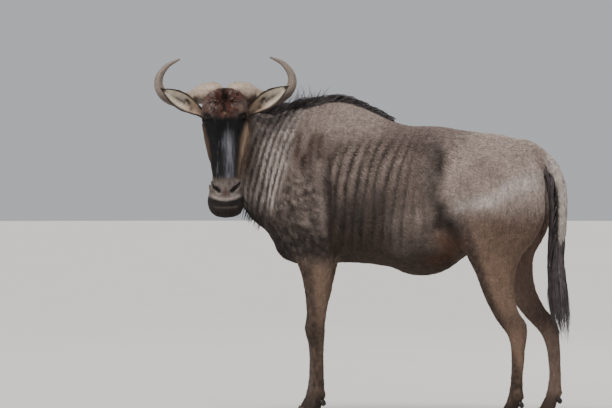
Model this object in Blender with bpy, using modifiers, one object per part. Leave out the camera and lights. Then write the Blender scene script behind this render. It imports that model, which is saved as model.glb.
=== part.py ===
"""Life-size still model of a wildebeest, standing square on and looking over its left shoulder.

Metres, +Z up. The animal faces -X, its left side is -Y, and its soles stand on Z = 0.
"""

import math
import random

import bmesh
import bpy
import numpy as np
from mathutils import Matrix, Vector
from mathutils.bvhtree import BVHTree

# Driving dimensions
GAP = 0.0004  # kept between touching pieces
RING = 28  # points round each section of a loft
FORM_VOXEL = 0.006  # grain of the remeshed body
TRUNK_SMOOTHING = 44  # rounds
TRUNK_TRIANGLES = 3100  # of the body without its head
HEAD_TRIANGLES = 750
SIDES = {"left": -1, "right": 1}  # the animal's left is -Y
HEAD_SIDES = {"left": 1, "right": -1}  # in the head's own frame
WORK = "work"  # the collection of everything that is used up

# Head: where the poll is, which way the face looks and how steeply it hangs
HEAD_POLL = Vector((-0.700, -0.190, 1.365))
FACE_AZIMUTH = math.radians(7)
FACE_PITCH = math.radians(75)
FACE_ROLL = math.radians(1.2)
EYE_RADIUS = 0.0205
EYE_PLACE = Vector((0.0610, 0.014, 0.104))  # aside, out of the face, down the face
EYE_OPENING = (0.0200, 0.0092, 0.022)  # half length, half height and reach of the gap between the lids

# Trunk sections: x, top, underside, widest level, half width, how much the top narrows
TRUNK = (
    (-0.590, 0.960, 0.835, 0.895, 0.040, 0.0),
    (-0.562, 1.060, 0.800, 0.900, 0.082, 0.1),
    (-0.480, 1.200, 0.694, 0.880, 0.132, 0.2),
    (-0.420, 1.284, 0.654, 0.875, 0.160, 0.3),
    (-0.340, 1.330, 0.648, 0.880, 0.182, 0.42),
    (-0.250, 1.340, 0.662, 0.890, 0.198, 0.46),
    (-0.150, 1.312, 0.660, 0.895, 0.216, 0.38),
    (-0.050, 1.262, 0.648, 0.895, 0.236, 0.25),
    (0.030, 1.232, 0.624, 0.890, 0.252, 0.15),
    (0.100, 1.230, 0.611, 0.890, 0.258, 0.1),
    (0.180, 1.226, 0.628, 0.900, 0.250, 0.1),
    (0.260, 1.212, 0.680, 0.930, 0.230, 0.1),
    (0.340, 1.202, 0.740, 0.960, 0.212, 0.1),
    (0.420, 1.194, 0.790, 0.980, 0.198, 0.12),
    (0.500, 1.166, 0.830, 0.985, 0.172, 0.12),
    (0.560, 1.112, 0.870, 0.985, 0.128, 0.1),
    (0.596, 1.030, 0.910, 0.970, 0.060, 0.0),
)
# Neck sections: centre, half width, depth above, depth below
NECK = (
    ((-0.200, 0.000, 1.000), 0.168, 0.290, 0.250),
    ((-0.340, 0.000, 1.045), 0.162, 0.280, 0.280),
    ((-0.465, 0.002, 1.090), 0.140, 0.242, 0.305),
    ((-0.570, 0.003, 1.140), 0.116, 0.192, 0.235),
    ((-0.640, -0.020, 1.192), 0.100, 0.132, 0.165),
    ((-0.686, -0.078, 1.240), 0.090, 0.098, 0.125),
    ((-0.698, -0.140, 1.268), 0.078, 0.070, 0.105),
)
# Head sections: distance down the face, forehead side, jaw side, widest level, half width, narrowing of each
SKULL = (
    (-0.022, -0.010, -0.060, -0.035, 0.035, 0.0, 0.0),
    (-0.010, 0.022, -0.105, -0.036, 0.070, 0.1, 0.1),
    (0.020, 0.046, -0.135, -0.030, 0.090, 0.12, 0.22),
    (0.060, 0.056, -0.152, -0.022, 0.098, 0.18, 0.30),
    (0.100, 0.057, -0.163, -0.018, 0.0985, 0.24, 0.36),
    (0.140, 0.055, -0.167, -0.018, 0.094, 0.28, 0.38),
    (0.185, 0.055, -0.162, -0.022, 0.087, 0.30, 0.36),
    (0.232, 0.056, -0.146, -0.026, 0.0795, 0.32, 0.32),
    (0.280, 0.057, -0.124, -0.026, 0.069, 0.32, 0.30),
    (0.325, 0.056, -0.103, -0.022, 0.059, 0.30, 0.26),
    (0.360, 0.054, -0.090, -0.017, 0.056, 0.24, 0.20),
    (0.395, 0.051, -0.081, -0.014, 0.065, 0.16, 0.16),
    (0.430, 0.045, -0.076, -0.013, 0.074, 0.10, 0.12),
    (0.462, 0.036, -0.072, -0.014, 0.078, 0.06, 0.10),
    (0.488, 0.022, -0.068, -0.017, 0.073, 0.03, 0.10),
    (0.508, 0.002, -0.062, -0.022, 0.058, 0.0, 0.05),
    (0.520, -0.018, -0.050, -0.030, 0.036, 0.0, 0.0),
)
MOUTH_CORNER = Vector((0, -0.046, 0.402))
MOUTH_FRONT = Vector((0, 0.040, 0.500))
# Nostril slit, from its outer upper end: aside, out of the face, down the face, half height
NOSTRIL = (
    (0.074, -0.004, 0.380, 0.0050),
    (0.064, 0.012, 0.386, 0.0085),
    (0.052, 0.026, 0.397, 0.0095),
    (0.040, 0.036, 0.412, 0.0080),
    (0.027, 0.042, 0.427, 0.0040),
)
NOSTRIL_DEPTH = 0.017
# Horn: aside, out of the face, down the face, radius
HORN = (
    (0.010, -0.034, 0.010, 0.026),
    (0.045, -0.036, -0.012, 0.041),
    (0.087, -0.046, -0.012, 0.040),
    (0.135, -0.066, 0.002, 0.031),
    (0.180, -0.076, 0.010, 0.0255),
    (0.222, -0.078, 0.004, 0.0235),
    (0.258, -0.074, -0.020, 0.0215),
    (0.276, -0.066, -0.055, 0.019),
    (0.270, -0.058, -0.095, 0.0155),
    (0.240, -0.050, -0.133, 0.0105),
    (0.205, -0.045, -0.152, 0.006),
    (0.186, -0.043, -0.160, 0.003),
)
HORN_MIDLINE = 0.005  # how close each horn comes to the middle of the crown
# Ear: share of its length, half width, how far the cup wraps round in degrees, thickness
EAR_ROOT = Vector((0.070, -0.046, 0.088))
EAR_TIP = Vector((0.260, 0.004, -0.020))
EAR_FACING = Vector((0.10, 0.93, 0.35))
EAR = (
    (0.00, 0.018, 150, 0.0070),
    (0.18, 0.020, 135, 0.0055),
    (0.32, 0.027, 100, 0.0045),
    (0.48, 0.0360, 78, 0.0040),
    (0.62, 0.0365, 70, 0.0036),
    (0.76, 0.0295, 64, 0.0032),
    (0.88, 0.0170, 60, 0.0028),
    (0.96, 0.0080, 55, 0.0024),
    (1.00, 0.0030, 50, 0.0018),
)
# Hoof: height, toe, heel, half width, all from the middle of the foot
HOOF = (
    (0.000, 0.052, 0.036, 0.0360),
    (0.012, 0.050, 0.037, 0.0365),
    (0.040, 0.038, 0.036, 0.0345),
    (0.075, 0.026, 0.034, 0.0320),
)
CORONET_HEIGHT = 0.050
CORONET_SLOPE = 0.30
CLEFT = (0.0036, 0.042)  # width, height
DEWCLAW = (0.0095, 0.0150, 0.090)  # radius, half length, height
DEWCLAW_BACK = {"fore": 0.052, "hind": 0.058}  # behind the middle of the foot
DEWCLAW_APART = 0.017  # each from the middle of the leg
# Where each foot stands: x of its middle
FORE_FOOT_X = -0.354
HIND_FOOT_X = 0.458

# Leg sections: height, fore-and-aft place, place aside, half length, half width
FORELEG = (
    (1.215, -0.275, 0.078, 0.070, 0.040),
    (1.120, -0.315, 0.106, 0.120, 0.058),
    (1.010, -0.352, 0.125, 0.150, 0.072),
    (0.900, -0.374, 0.138, 0.156, 0.079),
    (0.820, -0.368, 0.143, 0.142, 0.076),
    (0.750, -0.350, 0.141, 0.114, 0.068),
    (0.690, -0.336, 0.137, 0.087, 0.059),
    (0.620, -0.328, 0.133, 0.066, 0.051),
    (0.540, -0.325, 0.130, 0.052, 0.043),
    (0.460, -0.328, 0.128, 0.042, 0.037),
    (0.420, -0.331, 0.127, 0.039, 0.036),
    (0.385, -0.333, 0.127, 0.040, 0.038),
    (0.350, -0.330, 0.127, 0.034, 0.034),
    (0.305, -0.324, 0.127, 0.026, 0.026),
    (0.220, -0.321, 0.127, 0.0235, 0.023),
    (0.155, -0.321, 0.127, 0.026, 0.025),
    (0.120, -0.322, 0.127, 0.032, 0.030),
    (0.092, -0.332, 0.127, 0.029, 0.030),
    (0.060, -0.346, 0.127, 0.033, 0.034),
    (0.020, -0.356, 0.127, 0.031, 0.031),
)
HINDLEG = (
    (1.130, 0.410, 0.085, 0.090, 0.060),
    (1.030, 0.408, 0.102, 0.155, 0.090),
    (0.930, 0.416, 0.114, 0.194, 0.103),
    (0.830, 0.420, 0.122, 0.186, 0.100),
    (0.755, 0.413, 0.127, 0.152, 0.088),
    (0.695, 0.404, 0.131, 0.114, 0.074),
    (0.622, 0.411, 0.134, 0.083, 0.059),
    (0.540, 0.424, 0.137, 0.064, 0.046),
    (0.470, 0.450, 0.138, 0.056, 0.038),
    (0.425, 0.478, 0.138, 0.057, 0.036),
    (0.385, 0.497, 0.138, 0.045, 0.035),
    (0.345, 0.503, 0.138, 0.034, 0.031),
    (0.290, 0.503, 0.138, 0.028, 0.026),
    (0.205, 0.499, 0.138, 0.0255, 0.0235),
    (0.155, 0.496, 0.138, 0.028, 0.026),
    (0.122, 0.494, 0.138, 0.033, 0.031),
    (0.094, 0.482, 0.138, 0.030, 0.030),
    (0.060, 0.466, 0.138, 0.033, 0.034),
    (0.020, 0.456, 0.138, 0.031, 0.031),
)
# How far the right legs stand from the left ones at the ground, fore and aft
RIGHT_FORE_STEP = -0.052
RIGHT_HIND_STEP = 0.137
# Tail bone: x, z, radius
TAIL = (
    (0.455, 1.120, 0.060),
    (0.520, 1.128, 0.048),
    (0.578, 1.104, 0.038),
    (0.628, 1.058, 0.031),
    (0.658, 0.990, 0.029),
    (0.668, 0.900, 0.0275),
    (0.664, 0.800, 0.026),
    (0.656, 0.700, 0.023),
    (0.652, 0.640, 0.019),
)
# Switch: x, z, radius, beyond the end of the tail
SWITCH = (
    (0.656, 0.712, 0.018),
    (0.652, 0.620, 0.033),
    (0.656, 0.520, 0.042),
    (0.668, 0.430, 0.037),
    (0.680, 0.370, 0.020),
    (0.686, 0.330, 0.005),
)
TAIL_END = 0.705  # level where the tail gives way to the switch
# Thin cuts: point, normal, half size aside and along, for the left side
FORE_CUT = (Vector((-0.370, -0.135, 0.7495)), Vector((0.35, 1.05, 1.0)), (0.180, 0.215))
HIND_CUT = (Vector((0.395, -0.125, 0.8248)), Vector((-0.85, 1.0, 1.0)), (0.200, 0.296))
KNEE_LEVEL = 0.392
HOCK_LEVEL = 0.470
HEAD_CUT = (Vector((-0.600, 0.0, 1.130)), Vector((-0.90, -0.42, 0.10)), (0.160, 0.330))
NECK_CUT = (Vector((-0.455, 0.0, 1.050)), Vector((-0.93, 0.0, 0.365)), (0.240, 0.370))
TAIL_CUT = (Vector((0.648, 0.0, 1.022)), Vector((0.447, 0.0, -0.894)), (0.050, 0.045))
# Mane: x, how far it stands above the skin, how far it falls on the far side, half width of its ridge
MANE = (
    (-0.665, 0.006, 0.030, 0.010),
    (-0.640, 0.028, 0.070, 0.014),
    (-0.580, 0.038, 0.110, 0.018),
    (-0.480, 0.042, 0.140, 0.021),
    (-0.380, 0.042, 0.150, 0.023),
    (-0.280, 0.038, 0.140, 0.023),
    (-0.180, 0.036, 0.120, 0.022),
    (-0.090, 0.028, 0.080, 0.018),
    (-0.020, 0.008, 0.030, 0.010),
)
MANE_HEIGHT = 0.042
# Rows of mane locks: the way they set out, length, fall, how many, half width, clearance from the skin
MANE_ROWS = (
    (Vector((0.25, 0.80, 0.50)), 0.160, 1.00, 17, 0.033, 0.010),
    (Vector((0.60, -0.60, 0.42)), 0.062, 0.80, 10, 0.027, 0.005),
    (Vector((1.00, -0.04, 0.26)), 0.105, 0.26, 15, 0.021, 0.006),
)
NECK_BEND_X = -0.57  # in front of this the crest bends with the neck
POLL_TUFT_X = -0.46  # the standing hair is longer in front of this
POLL_TUFT_GAIN = 1.15
# Rows of switch locks: how many, where they start, length, how far they spread
SWITCH_ROWS = (
    (7, 0.690, 0.275, 0.006),
    (6, 0.600, 0.255, 0.000),
)
# Beard: distance down the face, out of the face, half width, length
BEARD = (
    (0.470, -0.058, 0.014, 0.018),
    (0.420, -0.070, 0.022, 0.045),
    (0.350, -0.092, 0.026, 0.070),
    (0.280, -0.120, 0.028, 0.085),
    (0.215, -0.146, 0.028, 0.080),
    (0.170, -0.160, 0.020, 0.050),
)
BEARD_LOCKS = 6  # on each of its three rows
THROAT_TOP = 1.060
THROAT_LOW = 0.840
THROAT_Y = -0.004
THROAT_LENGTH = 0.060


# Colour and roughness of each kind of node
COLOURS = {
    "head": ((0.075, 0.058, 0.050), 0.75),
    "neck": ((0.200, 0.165, 0.135), 0.80),
    "torso": ((0.190, 0.155, 0.125), 0.80),
    "foreleg": ((0.150, 0.100, 0.066), 0.80),
    "hindleg": ((0.160, 0.108, 0.070), 0.80),
    "tail": ((0.170, 0.140, 0.115), 0.85),
    "tail_switch": ((0.015, 0.014, 0.014), 0.85),
    "mane": ((0.015, 0.013, 0.012), 0.85),
    "beard": ((0.020, 0.018, 0.017), 0.85),
    "throat_fringe": ((0.035, 0.030, 0.027), 0.85),
    "ear": ((0.230, 0.165, 0.110), 0.80),
    "eye": ((0.012, 0.008, 0.006), 0.10),
    "horn": ((0.210, 0.165, 0.125), 0.50),
    "hoof": ((0.035, 0.030, 0.027), 0.45),
    "dewclaw": ((0.030, 0.026, 0.023), 0.50),
}


def clear_scene():
    for item in list(bpy.data.objects):
        bpy.data.objects.remove(item, do_unlink=True)


def collection(name, hidden=False):
    made = bpy.data.collections.new(name)
    bpy.context.scene.collection.children.link(made)
    made.hide_render = hidden
    return made


def material(name, colour, roughness, metallic=0.0):
    made = bpy.data.materials.new(name)
    made.use_nodes = True
    shader = made.node_tree.nodes["Principled BSDF"]
    shader.inputs["Base Color"].default_value = (*colour, 1)
    shader.inputs["Roughness"].default_value = roughness
    shader.inputs["Metallic"].default_value = metallic
    made.diffuse_color = (*colour, 1)
    return made


def smooth_rows(rows, count):
    """The rows read from one smooth curve through them, at an even spacing of rows."""
    table = np.array(rows, float)
    last = len(table) - 1
    found = []
    for place in np.linspace(0, last, count):
        i = min(int(place), last - 1)
        t = place - i
        before = table[max(i - 1, 0)]
        a, b = table[i], table[i + 1]
        after = table[min(i + 2, last)]
        m0, m1 = (b - before) / 2, (after - a) / 2
        found.append(
            (2 * t**3 - 3 * t**2 + 1) * a
            + (t**3 - 2 * t**2 + t) * m0
            + (3 * t**2 - 2 * t**3) * b
            + (t**3 - t**2) * m1
        )
    return np.array(found)


def section(centre, side, up, half, above, below, narrow_top=0.0, narrow_low=0.0):
    """A ring round centre: half wide each side, reaching above and below, narrower towards top and bottom."""
    points = []
    for k in range(RING):
        angle = 2 * math.pi * k / RING
        height = math.sin(angle)
        narrow = narrow_top if height > 0 else narrow_low
        aside = half * math.cos(angle) * (1 - narrow * height**2)
        rise = height * (above if height > 0 else below)
        points.append(centre + side * aside + up * rise)
    return points


def loft(bm, rings):
    """A closed tube through the rings, with its ends filled."""
    loops = [[bm.verts.new(p) for p in ring] for ring in rings]
    for first, second in zip(loops, loops[1:]):
        for k in range(len(first)):
            j = (k + 1) % len(first)
            bm.faces.new((first[k], first[j], second[j], second[k]))
    bm.faces.new(list(reversed(loops[0])))
    bm.faces.new(loops[-1])


def ball(bm, centre, radii, turn=None, sides=24):
    """An ellipsoid of these half sizes."""
    matrix = Matrix.Translation(centre) @ (turn or Matrix()) @ Matrix.Diagonal((*radii, 1))
    bmesh.ops.create_uvsphere(bm, u_segments=sides, v_segments=sides * 2 // 3, radius=1, matrix=matrix)


def head_matrix():
    """Head frame to world: x to the animal's left, y out of the forehead, z down the face."""
    look = Vector((math.sin(FACE_AZIMUTH), -math.cos(FACE_AZIMUTH), 0))
    left = Vector((-look.y, look.x, 0))
    down = look * math.cos(FACE_PITCH) - Vector((0, 0, 1)) * math.sin(FACE_PITCH)
    out = look * math.sin(FACE_PITCH) + Vector((0, 0, 1)) * math.cos(FACE_PITCH)
    turned = Matrix((left, out, down)).transposed().to_4x4()
    roll = Matrix.Rotation(FACE_ROLL, 4, look)
    return Matrix.Translation(HEAD_POLL) @ roll @ turned


def add_trunk(bm):
    rings = []
    for x, top, low, wide, half, narrow in smooth_rows(TRUNK, 60):
        centre = Vector((x, 0, wide))
        rings.append(
            section(centre, Vector((0, -1, 0)), Vector((0, 0, 1)), half, top - wide, wide - low, narrow)
        )
    loft(bm, rings)


def neck_frames(count):
    """Centre, left and upward directions, half width and depths along the neck."""
    rows = smooth_rows([(*centre, *sizes) for centre, *sizes in NECK], count)
    frames = []
    for i, row in enumerate(rows):
        along = Vector(rows[min(i + 1, count - 1)][:3] - rows[max(i - 1, 0)][:3]).normalized()
        side = Vector((-along.y, along.x, 0)).normalized()
        frames.append((Vector(row[:3]), side, along.cross(side).normalized(), *row[3:]))
    return frames


def add_neck(bm):
    rings = []
    for centre, side, up, half, above, below in neck_frames(34):
        rings.append(section(centre, side, up, half, above, below, 0.42, 0.15))
    loft(bm, rings)


def add_skull(bm):
    matrix = head_matrix()
    rings = []
    for down, fore, jaw, wide, half, narrow, narrow_low in smooth_rows(SKULL, 60):
        ring = section(
            Vector((0, wide, down)), Vector((1, 0, 0)), Vector((0, 1, 0)),
            half, fore - wide, wide - jaw, narrow, narrow_low,
        )
        rings.append([matrix @ p for p in ring])
    loft(bm, rings)
    for side in (-1, 1):
        eye = Vector((EYE_PLACE.x * side, EYE_PLACE.y, EYE_PLACE.z))
        ball(bm, matrix @ eye, (EYE_RADIUS + 0.005,) * 3)
        brow = Vector((side * 0.060, 0.026, 0.078))
        turn = matrix.to_3x3().to_4x4()
        ball(bm, matrix @ brow, (0.034, 0.022, 0.028), turn)
        flap = Vector((side * 0.047, 0.014, 0.402))
        ball(bm, matrix @ flap, (0.025, 0.030, 0.026), turn)
        cheek = Vector((side * 0.060, -0.060, 0.150))
        ball(bm, matrix @ cheek, (0.034, 0.062, 0.080), turn)


def leg_rows(rows, side, step, knee):
    """The leg's sections on one side, with its foot moved by step below the knee level."""
    found = []
    for z, x, y, long, wide in smooth_rows(rows, 70):
        share = min(max((0.95 - z) / (0.95 - knee), 0.0), 1.0)
        found.append((z, x + step * share * share * (3 - 2 * share), y * side, long, wide))
    return found


def add_leg(bm, rows, side, step):
    rings = []
    for z, x, y, long, wide in leg_rows(rows, side, step, 0.15):
        rings.append(section(Vector((x, y, z)), Vector((1, 0, 0)), Vector((0, 1, 0)), long, wide, wide))
    loft(bm, rings)


def add_tail(bm):
    rows = smooth_rows(TAIL, 40)
    rings = []
    for i, (x, z, radius) in enumerate(rows):
        ahead, behind = rows[min(i + 1, len(rows) - 1)], rows[max(i - 1, 0)]
        along = Vector((ahead[0] - behind[0], 0, ahead[1] - behind[1])).normalized()
        up = Vector((-along.z, 0, along.x))
        rings.append(section(Vector((x, 0, z)), Vector((0, 1, 0)), up, radius, radius, radius))
    loft(bm, rings)


def add_muscles(bm):
    for side in (-1, 1):
        ball(bm, (-0.445, 0.105 * side, 0.905), (0.075, 0.070, 0.080))
        ball(bm, (0.215, 0.148 * side, 1.105), (0.060, 0.045, 0.045))
        ball(bm, (0.540, 0.075 * side, 0.975), (0.070, 0.062, 0.120))
    ball(bm, (-0.437, 0.0, 0.772), (0.092, 0.092, 0.106))
    ball(bm, (0.070, 0.0, 0.630), (0.075, 0.026, 0.020))


def new_object(name, bm):
    """An object in the working collection, with its faces pointing out."""
    bmesh.ops.recalc_face_normals(bm, faces=bm.faces)
    mesh = bpy.data.meshes.new(name)
    bm.to_mesh(mesh)
    bm.free()
    made = bpy.data.objects.new(name, mesh)
    bpy.data.collections[WORK].objects.link(made)
    return made


def apply_modifiers(item):
    """The object's mesh as its modifiers leave it, with none left on it."""
    graph = bpy.context.evaluated_depsgraph_get()
    mesh = bpy.data.meshes.new_from_object(item.evaluated_get(graph))
    item.modifiers.clear()
    old = item.data
    item.data = mesh
    bpy.data.meshes.remove(old)


def ramp(values, low, high):
    """0 below low, 1 above high, smooth between."""
    t = np.clip((values - low) / (high - low), 0, 1)
    return t * t * (3 - 2 * t)


def points_of(mesh):
    points = np.empty(len(mesh.vertices) * 3)
    mesh.vertices.foreach_get("co", points)
    return points.reshape(-1, 3)


def relax(mesh, weights, rounds):
    """Evens the surface: each round moves every point towards the middle of its neighbours, by its weight."""
    points = points_of(mesh)
    ends = np.empty(len(mesh.edges) * 2, np.int64)
    mesh.edges.foreach_get("vertices", ends)
    a, b = ends.reshape(-1, 2).T
    count = np.bincount(np.concatenate((a, b)), minlength=len(points))
    for _ in range(rounds):
        middle = np.stack(
            [
                np.bincount(a, points[b, k], len(points)) + np.bincount(b, points[a, k], len(points))
                for k in range(3)
            ],
            axis=1,
        ) / count[:, None]
        points += (middle - points) * weights[:, None]
    mesh.vertices.foreach_set("co", points.ravel())
    mesh.update()


def in_head(points):
    """The same points in the head's frame."""
    inverse = np.array(head_matrix().inverted())
    return points @ inverse[:3, :3].T + inverse[:3, 3]


def headness(points):
    """1 on the head, 0 on the neck and body."""
    local = in_head(points)
    near = ramp(points[:, 1] + 0.6 * (points[:, 0] + 0.70), -0.02, -0.09)
    return near * ramp(local[:, 2], -0.10, -0.04) * ramp(points[:, 0], -0.52, -0.60)


def body_form():
    """The whole flesh of the animal as one closed skin, from overlapping lofts fused on a fine grid."""
    bm = bmesh.new()
    add_trunk(bm)
    add_neck(bm)
    add_skull(bm)
    for side in (-1, 1):
        add_leg(bm, FORELEG, side, RIGHT_FORE_STEP if side > 0 else 0)
        add_leg(bm, HINDLEG, side, RIGHT_HIND_STEP if side > 0 else 0)
    add_tail(bm)
    add_muscles(bm)
    body = new_object("body_form", bm)
    fuse = body.modifiers.new("fuse", "REMESH")
    fuse.mode = "VOXEL"
    fuse.voxel_size = FORM_VOXEL
    apply_modifiers(body)
    points = points_of(body.data)
    trunk = ramp(points[:, 2], 0.50, 0.72) * (1 - headness(points)) * ramp(points[:, 0], 0.66, 0.60)
    relax(body.data, 0.5 * trunk + 0.03, TRUNK_SMOOTHING)
    relax(body.data, np.full(len(points), 0.45), 3)
    return body


def boolean(item, others, operation="DIFFERENCE", solver="EXACT"):
    """Cuts or joins every one of the others at once, then removes them."""
    group = collection("operands", True)
    for other in others:
        for used in list(other.users_collection):
            used.objects.unlink(other)
        group.objects.link(other)
    change = item.modifiers.new("change", "BOOLEAN")
    change.operation = operation
    change.operand_type = "COLLECTION"
    change.collection = group
    change.solver = solver
    apply_modifiers(item)
    for other in others:
        bpy.data.objects.remove(other, do_unlink=True)
    bpy.data.collections.remove(group)


def duplicate(item, name):
    made = bpy.data.objects.new(name, item.data.copy())
    bpy.data.collections[WORK].objects.link(made)
    return made


def grown(item, distance=GAP):
    """A copy whose surface stands this far out, to trim what grows on the item."""
    made = duplicate(item, item.name + "_grown")
    normals = np.empty(len(made.data.vertices) * 3)
    made.data.vertices.foreach_get("normal", normals)
    points = points_of(made.data) + normals.reshape(-1, 3) * distance
    made.data.vertices.foreach_set("co", points.ravel())
    made.data.update()
    return made


def loose_parts(item):
    """The separate closed surfaces of a mesh, as lists of face indices, the largest first."""
    mesh = item.data
    ends = np.array([edge.vertices[:] for edge in mesh.edges])
    label = np.arange(len(mesh.vertices))
    while True:
        low = np.minimum(label[ends[:, 0]], label[ends[:, 1]])
        after = label.copy()
        np.minimum.at(after, ends[:, 0], low)
        np.minimum.at(after, ends[:, 1], low)
        after = after[after]
        if np.array_equal(after, label):
            break
        label = after
    groups = {}
    for face in mesh.polygons:
        groups.setdefault(label[face.vertices[0]], []).append(face.index)
    return sorted(groups.values(), key=len, reverse=True)


def keep_faces(item, kept):
    bm = bmesh.new()
    bm.from_mesh(item.data)
    kept = set(kept)
    dropped = [face for face in bm.faces if face.index not in kept]
    bmesh.ops.delete(bm, geom=dropped, context="FACES")
    stray = [vert for vert in bm.verts if not vert.link_faces]
    bmesh.ops.delete(bm, geom=stray, context="VERTS")
    bm.to_mesh(item.data)
    bm.free()


def keep_largest(item):
    keep_faces(item, loose_parts(item)[0])


def slab(point, normal, half_sizes):
    """A plate as thick as the gap, which parts whatever it passes through."""
    bm = bmesh.new()
    bmesh.ops.create_cube(bm, size=2)
    bmesh.ops.scale(bm, vec=(*half_sizes, GAP / 2), verts=bm.verts)
    turn = normal.normalized()
    side = Vector((0, 1, 0))
    side = (side - turn * side.dot(turn)).normalized()
    other = turn.cross(side)
    matrix = Matrix((side, other, turn)).transposed().to_4x4()
    bmesh.ops.transform(bm, matrix=Matrix.Translation(point) @ matrix, verts=bm.verts)
    return new_object("slab", bm)


def mirrored(vector, side):
    """A left-side vector carried to the wanted side."""
    return Vector((vector.x, -vector.y * side, vector.z))


def foot_places():
    """Name, x, y of the middle of each foot."""
    found = []
    for name, side in SIDES.items():
        fore = FORE_FOOT_X + (RIGHT_FORE_STEP if side > 0 else 0)
        hind = HIND_FOOT_X + (RIGHT_HIND_STEP if side > 0 else 0)
        found.append(("fore_" + name, fore, FORELEG[-1][2] * side))
        found.append(("hind_" + name, hind, HINDLEG[-1][2] * side))
    return found


def coronet_plane(foot_x, foot_y, drop):
    point = Vector((foot_x, foot_y, CORONET_HEIGHT - drop))
    return point, Vector((CORONET_SLOPE, 0, 1)).normalized()


def part_body(body):
    """Parts the body with thin cuts and names each piece by the point nearest its middle."""
    cuts = []
    for name, side in SIDES.items():
        for point, normal, sizes in (FORE_CUT, HIND_CUT):
            cuts.append(slab(mirrored(point, side), mirrored(normal, side), sizes))
        fore = RIGHT_FORE_STEP if side > 0 else 0
        hind = RIGHT_HIND_STEP if side > 0 else 0
        knee = Vector((-0.333 + fore * 0.75, 0.127 * side, KNEE_LEVEL))
        hock = Vector((0.450 + hind * 0.6, 0.138 * side, HOCK_LEVEL))
        cuts.append(slab(knee, Vector((0, 0, 1)), (0.09, 0.09)))
        cuts.append(slab(hock, Vector((0, 0, 1)), (0.11, 0.09)))
    for name, x, y in foot_places():
        point, normal = coronet_plane(x, y, 0)
        cuts.append(slab(point, normal, (0.08, 0.08)))
    for point, normal, sizes in (HEAD_CUT, NECK_CUT, TAIL_CUT):
        cuts.append(slab(point, normal, sizes))
    cuts.append(slab(Vector((TAIL[-2][0], 0, TAIL_END)), Vector((0, 0, 1)), (0.05, 0.05)))
    boolean(body, cuts)
    anchors = {
        "head": (-0.70, -0.20, 1.13),
        "neck": (-0.50, 0.0, 1.05),
        "torso": (0.05, 0.0, 0.95),
        "tail": (0.66, 0.0, 0.90),
    }
    for name, side in SIDES.items():
        fore = RIGHT_FORE_STEP if side > 0 else 0
        hind = RIGHT_HIND_STEP if side > 0 else 0
        anchors["foreleg_upper_" + name] = (-0.335 + fore * 0.4, 0.130 * side, 0.58)
        anchors["foreleg_lower_" + name] = (-0.330 + fore, 0.127 * side, 0.22)
        anchors["hindleg_upper_" + name] = (0.420 + hind * 0.4, 0.125 * side, 0.72)
        anchors["hindleg_lower_" + name] = (0.490 + hind, 0.138 * side, 0.26)
    made = {}
    for faces in loose_parts(body):
        piece = duplicate(body, "piece")
        keep_faces(piece, faces)
        points = points_of(piece.data)
        middle = (points.max(axis=0) + points.min(axis=0)) / 2
        stub = middle[0] > TAIL[-1][0] - 0.03 and middle[2] < TAIL_END
        if len(faces) < 12 or middle[2] < CORONET_HEIGHT or stub:
            bpy.data.objects.remove(piece, do_unlink=True)
            continue
        name = min(anchors, key=lambda key: np.linalg.norm(middle - np.array(anchors[key])))
        if name in made:
            raise RuntimeError("two pieces want the name " + name)
        made[name] = piece
    missing = set(anchors) - set(made)
    if missing:
        raise RuntimeError("not parted: " + ", ".join(sorted(missing)))
    bpy.data.objects.remove(body, do_unlink=True)
    return made


def cutter(name, build):
    bm = bmesh.new()
    build(bm)
    return new_object(name, bm)


def eye_directions(side):
    """Gaze, the line between the corners of the lids, and across it, in the head's frame."""
    gaze = Vector((0.84 * side, 0.54, -0.02)).normalized()
    corners = Vector((-0.50 * side, 0.72, 0.42))
    corners = (corners - gaze * corners.dot(gaze)).normalized()
    return gaze, corners, gaze.cross(corners)


def add_nostril(bm, side):
    """A bent slit that dips into the muzzle."""
    rings = []
    for x, y, z, size in smooth_rows(NOSTRIL, 7):
        ring = []
        for angle in np.linspace(0, 2 * math.pi, 8, endpoint=False):
            out = Vector((0.35 * side, 0.94, 0)) * NOSTRIL_DEPTH * math.sin(angle)
            ring.append(Vector((x * side, y, z)) + out + Vector((0, 0, size * math.cos(angle))))
        rings.append([head_matrix() @ point for point in ring])
    loft(bm, rings)


def carve_head(head):
    """Sockets and lid openings, nostrils and the line of the mouth."""
    matrix = head_matrix()
    cutters = []
    for side in (-1, 1):
        eye = Vector((EYE_PLACE.x * side, EYE_PLACE.y, EYE_PLACE.z))
        cutters.append(cutter("socket", lambda bm: ball(bm, matrix @ eye, (EYE_RADIUS + 2 * GAP,) * 3, sides=15)))
        gaze, corners, across = eye_directions(side)
        turn = matrix.to_3x3().to_4x4() @ Matrix((corners, across, gaze)).transposed().to_4x4()
        front = matrix @ (eye + gaze * EYE_RADIUS)
        cutters.append(cutter("lids", lambda bm: ball(bm, front, EYE_OPENING, turn, sides=12)))
        cutters.append(cutter("nostril", lambda bm: add_nostril(bm, side)))
    corner, front = MOUTH_CORNER, MOUTH_FRONT
    along = (front - corner).normalized()
    normal = matrix.to_3x3() @ Vector((1, 0, 0)).cross(along)
    middle = matrix @ ((corner + front) / 2)
    mouth = slab(middle, normal, (0.10, (front - corner).length / 2))
    cutters.append(mouth)
    boolean(head, cutters)
    keep_largest(head)


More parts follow.
